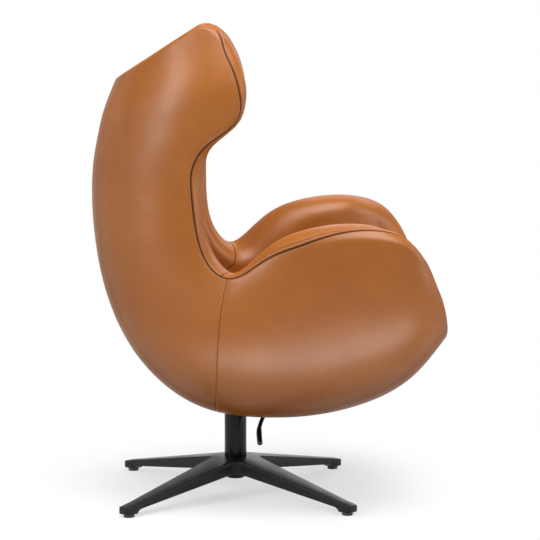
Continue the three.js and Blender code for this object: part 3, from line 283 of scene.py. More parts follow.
class BaseSettings(bpy.types.PropertyGroup):
    """Base, column and lever."""

    paint: FloatVectorProperty(
        name="Paint", description="Colour of the star's powder coat", subtype="COLOR", size=3, min=0, max=1,
        default=(0.007, 0.0072, 0.0078),
    )
    enamel: FloatVectorProperty(
        name="Enamel", description="Colour of the column's gloss enamel", subtype="COLOR", size=3, min=0,
        max=1, default=(0.003, 0.0031, 0.0034),
    )
    edge: FloatProperty(
        name="Edge", description="Rounding of the star's edges", unit="LENGTH", min=0, default=0.0022,
    )
    fillet: FloatProperty(
        name="Fillet", description="Rounding where the legs join", unit="LENGTH", min=0, default=0.017,
    )


class StageSettings(bpy.types.PropertyGroup):
    """Floor and light."""

    floor: FloatVectorProperty(
        name="Floor", description="Colour of the floor", subtype="COLOR", size=3, min=0, max=1,
        default=(0.93, 0.93, 0.93),
    )
    sky: FloatProperty(name="Sky", description="Strength of the room's light", min=0, default=0.26)
    top: FloatProperty(name="Top light", description="Watts of the light overhead", min=0, default=110)
    key: FloatProperty(name="Key light", description="Watts of the key light", min=0, default=36)
    front: FloatProperty(name="Front light", description="Watts of the front light", min=0, default=45)
    strip: FloatProperty(name="Strip light", description="Watts of the tall rear light", min=0, default=74)
    far: FloatProperty(name="Far light", description="Watts of the far side's light", min=0, default=24)
    low: FloatProperty(name="Low light", description="Watts of the light by the floor", min=0, default=3.2)
    shadow: FloatProperty(
        name="Shadow", description="How much of the floor's shadow is seen", subtype="FACTOR", min=0, max=1,
        default=0.42,
    )


# Selecting and shaping


def deselect():
    if bpy.context.mode != "OBJECT":
        bpy.ops.object.mode_set(mode="OBJECT")
    bpy.ops.object.select_all(action="DESELECT")


def choose(obj):
    deselect()
    obj.select_set(True)
    bpy.context.view_layer.objects.active = obj


def named(obj, name):
    obj.name = name
    obj.data.name = name
    return obj


def link_object(name, data):
    obj = bpy.data.objects.new(name, data)
    bpy.context.scene.collection.objects.link(obj)
    return obj


def edit(obj):
    choose(obj)
    bpy.ops.object.mode_set(mode="EDIT")


def leave_edit():
    bpy.ops.object.mode_set(mode="OBJECT")


def select_where(obj, kind, test):
    """Selects the edges or faces that pass a test, in edit mode."""
    bpy.ops.mesh.select_mode(type=kind)
    bpy.ops.mesh.select_all(action="DESELECT")
    shape = bmesh.from_edit_mesh(obj.data)
    for element in (shape.edges if kind == "EDGE" else shape.faces):
        element.select_set(test(element))
    bmesh.update_edit_mesh(obj.data)


def face_outwards(obj, merge=False):
    """Turns a closed piece's faces outwards, with its doubles merged first if asked."""
    edit(obj)
    bpy.ops.mesh.select_all(action="SELECT")
    if merge:
        bpy.ops.mesh.remove_doubles(threshold=DOUBLES)
    bpy.ops.mesh.normals_make_consistent(inside=False)
    leave_edit()
    return obj


def apply_modifier(obj, kind, **values):
    choose(obj)
    modifier = obj.modifiers.new(kind.lower(), kind)
    for key, value in values.items():
        setattr(modifier, key, value)
    bpy.ops.object.modifier_apply(modifier=modifier.name)


def rounded_edges(obj, width, segments=3, degrees=30):
    apply_modifier(
        obj, "BEVEL", width=width, segments=segments, limit_method="ANGLE",
        angle_limit=math.radians(degrees),
    )


def smooth_by_angle(obj, degrees=32):
    choose(obj)
    bpy.ops.object.shade_smooth_by_angle(angle=math.radians(degrees))


def settle(obj):
    """Moves a piece's place, turn and scale into its mesh."""
    choose(obj)
    bpy.ops.object.transform_apply(location=True, rotation=True, scale=True)
    return obj


def mesh_object(name, points, faces):
    data = bpy.data.meshes.new(name)
    data.from_pydata([tuple(p) for p in points], [], faces)
    data.validate()
    obj = link_object(name, data)
    data.shade_smooth()
    return obj


def cylinder(name, low, high, vertices, ends="NGON"):
    """An upright cylinder at the origin, as wide and as high as a box."""
    deselect()
    bpy.ops.mesh.primitive_cylinder_add(
        vertices=vertices, radius=(high.x - low.x) / 2, depth=high.z - low.z, end_fill_type=ends,
    )
    return named(bpy.context.object, name)


def on_column(obj, low, high):
    """Sets a piece on the column's axis, between two heights."""
    obj.location = (0, COLUMN_Y, (low.z + high.z) / 2)
    return settle(obj)


def recess_underside(obj, rim, depth):
    """Leaves a rim round a cylinder's underside and draws the rest up."""
    edit(obj)
    select_where(obj, "FACE", lambda face: face.normal.z < -0.9)
    bpy.ops.mesh.inset(thickness=rim)
    bpy.ops.mesh.extrude_region_move(TRANSFORM_OT_translate={"value": (0, 0, depth)})
    leave_edit()


def refined(node, name, width, degrees=30, segments=2):
    """A copy of a node of the frame, merged, with its edges rounded."""
    obj = named(link_object(name, frame["nodes"][node].data.copy()), name)
    edit(obj)
    bpy.ops.mesh.select_all(action="SELECT")
    bpy.ops.mesh.remove_doubles(threshold=DOUBLES)
    bpy.ops.mesh.dissolve_limited(angle_limit=math.radians(0.5))
    leave_edit()
    rounded_edges(obj, width, segments, degrees)
    smooth_by_angle(obj)
    return obj


def finish_piece(obj, material, slot, body, *nodes):
    """Gives a piece its finish, hides the frame's nodes it stands for and hangs it on the body it rides on;
    the slot is not used.
    """
    obj.data.materials.clear()
    obj.data.materials.append(material)
    if nodes:
        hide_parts(*nodes)
    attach(obj, body)


# Materials


class Nodes:
    """A material's nodes, added one by one."""

    def __init__(self, name):
        self.material = bpy.data.materials.new(name)
        self.material.use_nodes = True
        self.tree = self.material.node_tree
        self.shader = self.tree.nodes["Principled BSDF"]
        self.coordinates = self.tree.nodes.new("ShaderNodeTexCoord").outputs["Object"]

    def add(self, kind, **values):
        node = self.tree.nodes.new(kind)
        for key, value in values.items():
            if hasattr(node, key):
                setattr(node, key, value)
            else:
                node.inputs[key.replace("_", " ")].default_value = value
        return node

    def link(self, source, target):
        self.tree.links.new(source, target)

    def texture(self, kind, vector=None, **values):
        node = self.add(kind, **values)
        self.link(vector or self.coordinates, node.inputs["Vector"])
        return node

    def spread(self, source, low, high, from_low=0.3, from_high=0.7):
        node = self.add(
            "ShaderNodeMapRange", From_Min=from_low, From_Max=from_high, To_Min=low, To_Max=high,
        )
        self.link(source, node.inputs["Value"])
        return node.outputs["Result"]

    def mixed(self, factor, first, second):
        node = self.tree.nodes.new("ShaderNodeMix")
        node.data_type = "RGBA"
        self.link(factor, node.inputs["Factor"])
        for key, value in (("A", first), ("B", second)):
            socket = next(s for s in node.inputs if s.name == key and s.type == "RGBA")
            if isinstance(value, bpy.types.NodeSocket):
                self.link(value, socket)
            else:
                socket.default_value = (*value, 1)
        return next(s for s in node.outputs if s.type == "RGBA")

    def bump(self, height, distance, strength=1.0, normal=None):
        node = self.add("ShaderNodeBump", Strength=strength, Distance=distance)
        self.link(height, node.inputs["Height"])
        if normal is not None:
            self.link(normal, node.inputs["Normal"])
        return node.outputs["Normal"]

    def larger(self, first, second):
        node = self.add("ShaderNodeMath", operation="MAXIMUM")
        self.link(first, node.inputs[0])
        self.link(second, node.inputs[1])
        return node.outputs[0]

    def shaders(self, factor, first, second):
        node = self.add("ShaderNodeMixShader")
        for source, socket in zip((factor, first, second), node.inputs):
            self.link(source, socket)
        return node.outputs[0]

    def set(self, **values):
        for key, value in values.items():
            self.shader.inputs[key.replace("_", " ")].default_value = value

    def feed(self, **sources):
        for key, source in sources.items():
            self.link(source, self.shader.inputs[key.replace("_", " ")])


def leather():
    found = bpy.data.materials.get("tan_leather")
    if found:
        return found
    look = bpy.context.scene.chair_leather
    n = Nodes("tan_leather")
    cloud = n.texture("ShaderNodeTexNoise", Scale=5.5, Detail=6.0, Roughness=0.62)
    fine = n.texture("ShaderNodeTexNoise", Scale=90.0, Detail=5.0, Roughness=0.6)
    clouded = n.mixed(n.spread(cloud.outputs["Fac"], 0, 1.0), look.hide, look.shade)
    spotted = n.mixed(n.spread(fine.outputs["Fac"], 0, 0.22, 0.45, 0.8), clouded, look.shade)
    pebble = n.texture("ShaderNodeTexVoronoi", Scale=1 / look.grain, Randomness=1.0)
    crease = n.texture("ShaderNodeTexNoise", Scale=38.0, Detail=6.0, Roughness=0.62, Distortion=0.4)
    soft = n.texture("ShaderNodeTexNoise", Scale=11.0, Detail=2.0)
    normal = n.bump(soft.outputs["Fac"], 0.004, 0.45)
    normal = n.bump(crease.outputs["Fac"], 0.0007, 0.6, normal)
    normal = n.bump(pebble.outputs["Distance"], look.relief, 0.6, normal)
    roughness = n.spread(cloud.outputs["Fac"], look.roughness - 0.04, look.roughness + 0.06)
    facing = n.add("ShaderNodeLayerWeight", Blend=0.5)
    gloss = n.spread(facing.outputs["Facing"], 0.42, 0.03, 0.3, 0.74)
    n.feed(Base_Color=spotted, Roughness=roughness, Normal=normal, Specular_IOR_Level=gloss)
    return n.material


def plain(name, color, roughness, metallic=0.0, gloss=0.5, grain=400.0, relief=0.00003, spread=0.04):
    """A finish with a fine surface: its colour and roughness vary a little."""
    found = bpy.data.materials.get(name)
    if found:
        return found
    n = Nodes(name)
    cloud = n.texture("ShaderNodeTexNoise", Scale=18.0, Detail=4.0)
    speck = n.texture("ShaderNodeTexNoise", Scale=grain, Detail=3.0)
    lighter = tuple(min(1.0, c * 1.25 + 0.001) for c in color)
    tint = n.mixed(n.spread(cloud.outputs["Fac"], 0, 1), color, lighter)
    rough = n.spread(cloud.outputs["Fac"], max(0.02, roughness - spread), roughness + spread)
    n.feed(Base_Color=tint, Roughness=rough, Normal=n.bump(speck.outputs["Fac"], relief, 0.5))
    n.set(Metallic=metallic, Specular_IOR_Level=gloss)
    return n.material


def powder_coat():
    look = bpy.context.scene.chair_base
    return plain("black_powder_coat", look.paint, 0.36, gloss=0.25, grain=900.0, relief=0.00006)


def gloss_enamel():
    look = bpy.context.scene.chair_base
    return plain("gloss_black_enamel", look.enamel, 0.2, gloss=0.22, spread=0.02)


def bright_steel():
    found = bpy.data.materials.get("plain_steel")
    if found:
        return found
    n = Nodes("plain_steel")
    stretch = n.add("ShaderNodeMapping", Scale=(1.0, 1.0, 24.0))
    n.link(n.coordinates, stretch.inputs["Vector"])
    brushed = n.texture("ShaderNodeTexNoise", vector=stretch.outputs["Vector"], Scale=160.0, Detail=4.0)
    n.feed(
        Base_Color=n.mixed(n.spread(brushed.outputs["Fac"], 0, 1), (0.5, 0.51, 0.52), (0.62, 0.63, 0.64)),
        Roughness=n.spread(brushed.outputs["Fac"], 0.28, 0.42),
        Normal=n.bump(brushed.outputs["Fac"], 0.00004, 0.5),
    )
    n.set(Metallic=1.0)
    return n.material


def plywood():
    found = bpy.data.materials.get("birch_plywood")
    if found:
        return found
    n = Nodes("birch_plywood")
    plies = n.texture("ShaderNodeTexWave", bands_direction="Z", Scale=110.0, Distortion=0.6, Detail=2.0)
    fibre = n.texture("ShaderNodeTexNoise", Scale=70.0, Detail=6.0)
    layered = n.mixed(n.spread(plies.outputs["Fac"], 0, 1), (0.48, 0.27, 0.11), (0.34, 0.17, 0.065))
    n.feed(
        Base_Color=n.mixed(n.spread(fibre.outputs["Fac"], 0, 0.4), layered, (0.55, 0.36, 0.18)),
        Normal=n.bump(fibre.outputs["Fac"], 0.0002, 0.4),
    )
    n.set(Roughness=0.62)
    return n.material


def black_plastic():
    return plain("black_plastic", (0.012, 0.012, 0.012), 0.42, grain=1200.0, relief=0.00008)


def grip_plastic():
    return plain("grip_plastic", (0.008, 0.008, 0.008), 0.16, spread=0.03)


def bush_plastic():
    return plain("pale_plastic", (0.62, 0.62, 0.58), 0.5)


def rubber():
    return plain("black_rubber", (0.014, 0.014, 0.014), 0.75, relief=0.00012)


def moulded():
    return plain("moulded_shell", (0.04, 0.04, 0.038), 0.6, relief=0.0001)


def thread():
    look = bpy.context.scene.chair_seams
    return plain("brown_thread", look.thread, 0.7, grain=2500.0, relief=0.0001)


# The shell's surface


def spline(table, column=None, size=1.0, start=0.0):
    """A natural cubic spline through a table of (station, value)."""
    if column is None:
        knots = np.array([row[0] for row in table], float)
        values = np.array([row[1] for row in table], float) * size
    else:
        knots = np.arange(len(table), dtype=float)
        values = table[:, column] * size + start
    count = len(knots)
    upper, right, bend = np.zeros(count), np.zeros(count), np.zeros(count)
    for i in range(1, count - 1):
        before, after = knots[i] - knots[i - 1], knots[i + 1] - knots[i]
        pull = 6 * ((values[i + 1] - values[i]) / after - (values[i] - values[i - 1]) / before)
        pivot = 2 * (before + after) - before * upper[i - 1]
        upper[i] = after / pivot
        right[i] = (pull - before * right[i - 1]) / pivot
    for i in range(count - 2, 0, -1):
        bend[i] = right[i] - upper[i] * bend[i + 1]

    def at(t):
        t = np.asarray(t, float)
        i = np.clip(np.searchsorted(knots, t, side="left") - 1, 0, count - 2)
        width = knots[i + 1] - knots[i]
        b = (t - knots[i]) / width
        a = 1 - b
        curve = (a**3 - a) * bend[i] + (b**3 - b) * bend[i + 1]
        return a * values[i] + b * values[i + 1] + curve * width * width / 6

    return at


spine_forward = spline(STATIONS, 0, DEPTH, -BEHIND)
spine_height = spline(STATIONS, 1, RISE, GROUND)
wide_forward = spline(STATIONS, 2, DEPTH, -BEHIND)
wide_height = spline(STATIONS, 3, RISE, GROUND)
half_width = spline(STATIONS, 4, HALF_WIDTH)
roundness = spline(STATIONS, 5)
rim_degree = spline(RIM_DEGREES)
roll_at = spline(ROLL_SHARES, size=EDGE_ROLL)
seam_degree = spline(SEAM_DEGREES)
rim_padding = spline(RIM_PADDING_SHARES, size=RIM_PADDING)
middle_padding = spline(MIDDLE_PADDING_SHARES, size=DECK_PADDING)


def eased(low, high, value):
    t = np.clip((value - low) / (high - low), 0, 1)
    return t * t * (3 - 2 * t)


def skin_point(s, a):
    """The outer skin at station s, from the middle (a = 0) to the rims (a = -1 and 1)."""
    angle = np.radians(rim_degree(s)) * a
    power = roundness(s)
    reach = (np.abs(np.sin(angle)) ** power + np.abs(np.cos(angle)) ** power) ** (-1 / power)
    rise = 1 - reach * np.cos(angle)
    forward = spine_forward(s) + rise * (wide_forward(s) - spine_forward(s))
    height = spine_height(s) + rise * (wide_height(s) - spine_height(s))
    return np.stack([half_width(s) * reach * np.sin(angle), COLUMN_Y - forward, height], -1)


def unit(vectors):
    return vectors / np.linalg.norm(vectors, axis=-1, keepdims=True)


def skin_inward(s, a):
    step = 1e-3
    along = skin_point(s + step, a) - skin_point(s - step, a)
    over = skin_point(s, a + step) - skin_point(s, a - step)
    return unit(np.cross(along, over))


def padding_at(s, a):
    share = eased(PADDING_FROM, PADDING_TO, np.abs(a))
    return middle_padding(s) * (1 - share) + rim_padding(s) * share


def rounded_corner(s, a, corner, start):
    """Draws a corner of the grid in to a round one."""
    stations, share = corner
    p = (stations - np.abs(s - start)) / stations
    q = (np.abs(a) - 1 + share) / share
    inside = (p > 0) & (q > 0)
    p, q = np.clip(p, 0, 1), np.clip(q, 0, 1)
    into = stations * (1 - p * np.sqrt(1 - q * q / 2))
    station = into if start == 0 else start - into
    side = 1 - share + share * q * np.sqrt(1 - p * p / 2)
    return np.where(inside, station, s), np.where(inside, np.sign(a) * side, a)


def near(line, *distances):
    """Rows on both sides of a seam, by their distances from it in millimetres."""
    return [line + d * MM / METRES_PER_STATION for d in distances]


# The grid's rows from the top of the back to the seat's front, and its columns from the middle
ROW_LINES = sorted(
    [0, 0.03, 0.07, 0.12, 0.18, 0.25, 0.33, 0.42, 0.52]
    + list(np.arange(0.64, 6.66, 0.115))
    + near(PAD_SPLIT, -11, -8, -7.1, -6.5, -5.9, -5, -3.5, -2, -1, -0.4, 0.4, 1, 2, 3.5, 6, 10)
    + list(np.arange(6.9, 8.05, 0.115))
    + near(PANEL_SEAM, -10, -6, -3.5, -2, -1.2, -0.6, -0.12, 0.12, 0.6, 1.2, 2, 3.5, 6, 10)
    + list(np.arange(8.29, 11.2, 0.115))
    + list(np.linspace(11.25, 12, 14))
)
SIDE_LINES = list(np.arange(0, 0.8, 0.04)) + [0.8, 0.83, 0.86, 0.89, 0.915, 0.94, 0.96, 0.98, 1.0]
PANEL_ROW = max(i for i, t in enumerate(ROW_LINES) if t < PANEL_SEAM)
SPLIT_ROW = max(i for i, t in enumerate(ROW_LINES) if t < PAD_SPLIT)
END_ROW = len(ROW_LINES) - 1


def master_grid():
    """The grid's stations and shares, bent so that both upright seams lie along rows."""
    lines = np.array(ROW_LINES)[:, None]
    a = np.array([-x for x in SIDE_LINES[:0:-1]] + SIDE_LINES)[None, :]
    a = np.broadcast_to(a, (len(ROW_LINES), a.shape[1])).copy()
    lean = PANEL_RISE * np.abs(a) ** PANEL_POWER
    seam = PANEL_SEAM - lean
    between = PAD_SPLIT + (seam - PAD_SPLIT) * (lines - PAD_SPLIT) / (PANEL_SEAM - PAD_SPLIT)
    ahead = seam + (LAST - seam) * (lines - PANEL_SEAM) / (LAST - PANEL_SEAM)
    s = np.where(lines <= PAD_SPLIT, lines, np.where(lines <= PANEL_SEAM, between, ahead))
    s, a = rounded_corner(s, a, EAR_CORNER, 0)
    s, a = rounded_corner(s, a, ARM_CORNER, LAST)
    return s, a


GRID_S, GRID_A = master_grid()
GRID_POINT = skin_point(GRID_S, GRID_A)
GRID_INWARD = skin_inward(GRID_S, GRID_A)
GRID_PADDING = padding_at(GRID_S, GRID_A)
COLUMNS = GRID_S.shape[1]


def softness(point):
    """The slight unevenness of hide over foam."""
    p = Vector(point)
    return 0.0004 * noise.noise(p * 13) + 0.0005 * noise.noise(p * 5 + Vector((4, 9, 2)))


GRID_SOFT = np.array([[softness(p) for p in row] for row in GRID_POINT])

RIM = (
    [(i, 0) for i in range(END_ROW, 0, -1)]
    + [(0, j) for j in range(COLUMNS - 1)]
    + [(i, COLUMNS - 1) for i in range(END_ROW)]
    + [(END_ROW, j) for j in range(COLUMNS - 1, 0, -1)]
)


def rim_vertices():
    """All that the rolled edge needs to know at each point of the rim."""
    found = {}
    points = np.array([GRID_POINT[i, j] for i, j in RIM])
    inward = np.array([GRID_INWARD[i, j] for i, j in RIM])
    gaps = np.linalg.norm(np.roll(points, -1, 0) - points, axis=1)
    place = np.concatenate([[0], np.cumsum(gaps)])
    length = place[-1]
    lap = RIM_OVERLAP
    wrapped = np.concatenate([points[-lap:], points, points[:lap]])
    where = np.concatenate([place[-lap - 1 : -1] - length, place[:-1], place[:lap] + length])
    for k, (i, j) in enumerate(RIM):
        ahead = [np.interp(place[k] + RIM_REACH, where, wrapped[:, c]) for c in range(3)]
        back = [np.interp(place[k] - RIM_REACH, where, wrapped[:, c]) for c in range(3)]
        outward = unit(np.cross(np.subtract(ahead, back), inward[k]))
        inner_row = min(max(i, INNER_ROWS), END_ROW - INNER_ROWS)
        inner_column = min(max(j, INNER_COLUMNS), COLUMNS - 1 - INNER_COLUMNS)
        if outward @ (points[k] - GRID_POINT[inner_row, inner_column]) < 0:
            outward = -outward
        s, padding = float(GRID_S[i, j]), float(GRID_PADDING[i, j])
        vertex = {
            "point": points[k], "inward": inward[k], "outward": outward, "s": s, "padding": padding,
            "roll": float(roll_at(s)), "seam": float(seam_degree(s)), "soft": float(GRID_SOFT[i, j]),
            "row": i, "side": 1 if j > COLUMNS // 2 else -1,
        }
        turn = np.radians(DEGREES - 90)
        speed = np.hypot(vertex["roll"] * np.sin(turn), padding / 2 * np.cos(turn))
        steps = (speed[1:] + speed[:-1]) / 2 * math.pi / 180
        vertex["lengths"] = np.concatenate([[0], np.cumsum(steps)])
        vertex["seam_length"] = float(np.interp(vertex["seam"], DEGREES, vertex["lengths"]))
        found[(i, j)] = vertex
    return found


RIM_VERTEX = rim_vertices()


def roll_point(vertex, degrees, inset):
    """A point of the rolled edge: how far beyond the skin's rim and how deep under the skin."""
    angle = math.radians(degrees - 90)
    half = vertex["padding"] / 2
    return (vertex["roll"] - inset) * math.cos(angle), half + (half - inset) * math.sin(angle)


def degrees_at(vertex, length):
    return float(np.interp(length, vertex["lengths"], DEGREES))


def placed(vertex, beyond, depth):
    return vertex["point"] + vertex["inward"] * depth + vertex["outward"] * beyond


def seam_dip(distance, depth):
    """How far the hide has turned in at a distance from its seam, both in metres."""
    x = distance / MM
    turned_in = depth * math.exp(-max(0.0, x - SEAM_LIP) / SEAM_FADE)
    puffed = PUFF_HEIGHT * math.exp(-((x - PUFF_PLACE) / PUFF_WIDTH) ** 2)
    return turned_in - puffed


def stitch_groove(distance, line):
    return GROOVE_DEPTH * math.exp(-(((distance - line) / MM) / GROOVE_WIDTH) ** 2)


def arm_share(s):
    """Where the arms carry their second row of stitches."""
    return float(eased(*ARM_FROM, s) * (1 - eased(*ARM_TO, s)))


def row_dips(row, line, depth, stitched):
    """Turn-in of a panel's surface along a cut row."""
    distance = (ROW_LINES[row] - line) * METRES_PER_STATION
    dip = seam_dip(abs(distance), depth)
    if stitched and distance < 0:
        dip += stitch_groove(-distance, SPLIT_STITCH)
    return dip


def cover_section(vertex, extra):
    """The cover's edge over the roll, from its outside to the seam and back under."""
    depth = bpy.context.scene.chair_seams.depth
    length = vertex["seam_length"]
    pull = min(1.0, length / (COVER_REACH * MM))
    found = []
    for share in COVER_SHARES:
        found.append(roll_point(vertex, degrees_at(vertex, length * (1 - share)), extra))
    for ring in COVER_RINGS:
        degrees = degrees_at(vertex, length - ring * MM * pull)
        found.append(roll_point(vertex, degrees, extra + seam_dip(ring * MM, depth)))
    stop = degrees_at(vertex, length - SEAM_LIP * MM * pull)
    for degrees in (stop, stop / 2, 0):
        found.append(roll_point(vertex, degrees, COVER))
    return found


def pad_section(vertex, extra):
    """The pad's edge over the roll, from its underside to the seam and on to its face."""
    depth = bpy.context.scene.chair_seams.depth
    length, end = vertex["seam_length"], vertex["lengths"][-1]
    start = degrees_at(vertex, length + SEAM_LIP * MM)
    under = degrees_at(vertex, length - PAD_UNDER * MM)
    found = [
        (INNER_SHIFT + CORE_GAP, PAD_DEPTH),
        (INNER_SHIFT + CORE_GAP, CORE_DEPTH),
        roll_point(vertex, 0, CORE_DEPTH),
        roll_point(vertex, under / 2, CORE_DEPTH),
        roll_point(vertex, start, CORE_DEPTH),
    ]
    stitched = arm_share(vertex["s"])
    for ring in PAD_RINGS:
        dip = seam_dip(ring * MM, depth) + stitched * stitch_groove(ring * MM, STITCH_LINE)
        found.append(roll_point(vertex, degrees_at(vertex, length + ring * MM), extra + dip))
    rest = length + PAD_RINGS[-1] * MM
    for share in np.linspace(0, 1, PAD_STEPS + 1)[1:-1]:
        found.append(roll_point(vertex, degrees_at(vertex, rest + (end - rest) * share), extra))
    return found


def soften(panel, count):
    """Evens out the seat's padding where the arms' front corners crowd it, past its first vertices."""
    seam = KDTree(len(RIM))
    for k, key in enumerate(RIM):
        vertex = RIM_VERTEX[key]
        seam.insert(placed(vertex, *roll_point(vertex, vertex["seam"], 0)), k)
    seam.balance()
    group = panel.vertex_groups.new(name="corners")
    for vertex in panel.data.vertices[count:]:
        x, y, _ = vertex.co
        away = seam.find(vertex.co)[2]
        weight = eased(*EVEN_FROM_SEAM, away) * eased(*EVEN_TO_FRONT, -y) * eased(*EVEN_ACROSS, abs(x))
        group.add([vertex.index], float(weight), "REPLACE")
    apply_modifier(panel, "SMOOTH", factor=0.5, iterations=EVEN_ROUNDS, vertex_group=group.name)
    panel.vertex_groups.clear()


def shell_panel(name, first, last, outer, inner, section, shift):
    """A closed panel of the upholstery between two rows of the grid and two depths under the skin."""
    points, faces = [], []

    def add(point):
        points.append(point)
        return len(points) - 1

    def surface(depths, beyond):
        index = {}
        for i in range(first, last + 1):
            for j in range(COLUMNS):
                point = GRID_POINT[i, j] + GRID_INWARD[i, j] * depths[i, j]
                if beyond and (i, j) in RIM_VERTEX:
                    point = point + RIM_VERTEX[i, j]["outward"] * beyond
                index[i, j] = add(point)
        return index

    outside, inside = surface(outer, shift[0]), surface(inner, shift[1])
    for i in range(first, last):
        for j in range(COLUMNS - 1):
            faces.append((outside[i, j], outside[i, j + 1], outside[i + 1, j + 1], outside[i + 1, j]))
            faces.append((inside[i, j], inside[i + 1, j], inside[i + 1, j + 1], inside[i, j + 1]))
    chain = [key for key in RIM if first <= key[0] <= last]
    if first > 0:
        turn = chain.index((first, COLUMNS - 1))
        chain = chain[turn:] + chain[:turn]
    flats, sections = [], []
    for key in chain:
        flat = section(RIM_VERTEX[key])
        flats.append([(shift[0], float(outer[key]))] + flat + [(shift[1], float(inner[key]))])
        sections.append([outside[key]] + [add(placed(RIM_VERTEX[key], *p)) for p in flat] + [inside[key]])
    for here, following in zip(sections[:-1], sections[1:]):
        for m in range(len(here) - 1):
            faces.append((following[m], here[m], here[m + 1], following[m + 1]))
    cut = first if first > 0 else last
    for j in range(COLUMNS - 1):
        corners = [outside[cut, j], outside[cut, j + 1], inside[cut, j + 1], inside[cut, j]]
        faces.append(tuple(corners[::-1] if first > 0 else corners))
    for k in (0, -1):
        flat = [Vector((x, y, 0)) for x, y in flats[k]]
        for triangle in tessellate_polygon([flat]):
            faces.append(tuple(sections[k][n] for n in triangle))
    return face_outwards(mesh_object(name, points, faces))


def rope(name, path, normals, radius, pitch, sink=0.0, closed=False):
    """A stitched thread along a line: it swells at each stitch and sinks between them."""
    path, normals = np.array(path), np.array(normals)
    if closed:
        path, normals = np.vstack([path, path[:1]]), np.vstack([normals, normals[:1]])
    place = np.concatenate([[0], np.cumsum(np.linalg.norm(np.diff(path, axis=0), axis=1))])
    count = max(8, int(place[-1] / pitch)) * POINTS_PER_STITCH
    at = np.linspace(0, place[-1], count + 1)
    if closed:
        at = at[:-1]
    centre = np.stack([np.interp(at, place, path[:, c]) for c in range(3)], 1)
    normal = unit(np.stack([np.interp(at, place, normals[:, c]) for c in range(3)], 1))
    if closed:
        tangent = unit(np.roll(centre, -1, 0) - np.roll(centre, 1, 0))
    else:
        tangent = unit(np.gradient(centre, axis=0))
    across = unit(np.cross(tangent, normal))
    swell = 0.5 + 0.5 * np.cos(np.arange(len(at)) * 2 * math.pi / POINTS_PER_STITCH)
    centre = centre - normal * (sink * (1 - swell))[:, None]
    sides, points, faces = THREAD_SIDES, [], []
    for k in range(len(at)):
        size = radius * (THREAD_WAIST + (1 - THREAD_WAIST) * swell[k])
        for m in range(sides):
            turn = 2 * math.pi * m / sides
            points.append(centre[k] + (normal[k] * math.sin(turn) + across[k] * math.cos(turn)) * size)
    runs = len(at) if closed else len(at) - 1
    for k in range(runs):
        for m in range(sides):
            a, b = k * sides + m, k * sides + (m + 1) % sides
            c, d = ((k + 1) % len(at)) * sides + (m + 1) % sides, ((k + 1) % len(at)) * sides + m
            faces.append((a, b, c, d))
    if not closed:
        faces.append(tuple(range(sides))[::-1])
        faces.append(tuple((len(at) - 1) * sides + m for m in range(sides)))
    return face_outwards(mesh_object(name, points, faces))


def roll_normal(vertex, degrees):
    """The rolled edge's normal in space."""
    angle = math.radians(degrees - 90)
    half, roll = vertex["padding"] / 2, vertex["roll"]
    beyond, depth = math.cos(angle) / roll, math.sin(angle) / half
    return unit(vertex["outward"] * beyond + vertex["inward"] * depth)


def cut_mouth(obj):
    """Cuts the opening for the column out of a cover."""
    low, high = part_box("bottom_collar")

    def upright(edge):
        a, b = edge.verts
        return abs(a.co.z - b.co.z) > MOUTH_CUT / 2

    deselect()
    bpy.ops.mesh.primitive_cube_add(size=1, location=(0, (low.y + high.y) / 2, MOUTH_PLACE))
    tool = bpy.context.object
    tool.scale = (high.x - low.x + MOUTH_GAP, high.y - low.y + MOUTH_GAP, MOUTH_CUT)
    edit(settle(tool))
    select_where(tool, "EDGE", upright)
    bpy.ops.mesh.bevel(offset=MOUTH_CORNER, segments=6, affect="EDGES")
    leave_edit()
    apply_modifier(obj, "BOOLEAN", operation="DIFFERENCE", object=tool, solver="EXACT")
    bpy.data.objects.remove(tool)


class CHAIR_OT_outer_cover(bpy.types.Operator):
    """Builds the hide stretched over the outside of the shell, in two panels"""

    bl_idname = "chair.outer_cover"
    bl_label = "Outer cover"

    def execute(self, context):
        shallow = context.scene.chair_seams.shallow
        dips = np.array([row_dips(i, PANEL_SEAM, shallow, False) for i in range(END_ROW + 1)])
        outer = dips[:, None] + GRID_SOFT
        inner = np.full_like(outer, COVER)

        def section(vertex):
            return cover_section(vertex, dips[vertex["row"]] + vertex["soft"])

        for name, node, first, last in (
            ("outer_hide_rear", "outer_cover_rear", 0, PANEL_ROW),
            ("outer_hide_front", "outer_cover_front", PANEL_ROW + 1, END_ROW),
        ):
            panel = shell_panel(name, first, last, outer, inner, section, (0, INNER_SHIFT))
            cut_mouth(panel)
            smooth_by_angle(panel, 60)
            finish_piece(panel, leather(), "leather", "seat", node)
        return {"FINISHED"}


class CHAIR_OT_inner_pads(bpy.types.Operator):
    """Builds the padded inside of the shell: the back and the seat with its arms"""

    bl_idname = "chair.inner_pads"
    bl_label = "Inner pads"

    def execute(self, context):
        depth = context.scene.chair_seams.depth
        dips = np.array([row_dips(i, PAD_SPLIT, depth, True) for i in range(END_ROW + 1)])
        outer = np.full_like(GRID_PADDING, PAD_DEPTH)
        inner = GRID_PADDING - dips[:, None] - GRID_SOFT

        def section(vertex):
            return pad_section(vertex, dips[vertex["row"]] + vertex["soft"])

        for name, node, first, last, crowded in (
            ("inner_hide_back", "inner_back_pad", 0, SPLIT_ROW, False),
            ("inner_hide_seat", "inner_seat_pad", SPLIT_ROW + 1, END_ROW, True),
        ):
            panel = shell_panel(name, first, last, outer, inner, section, (INNER_SHIFT, 0))
            if crowded:
                soften(panel, (last - first + 1) * COLUMNS)
            smooth_by_angle(panel, 60)
            finish_piece(panel, leather(), "padding", "seat", node)
        return {"FINISHED"}


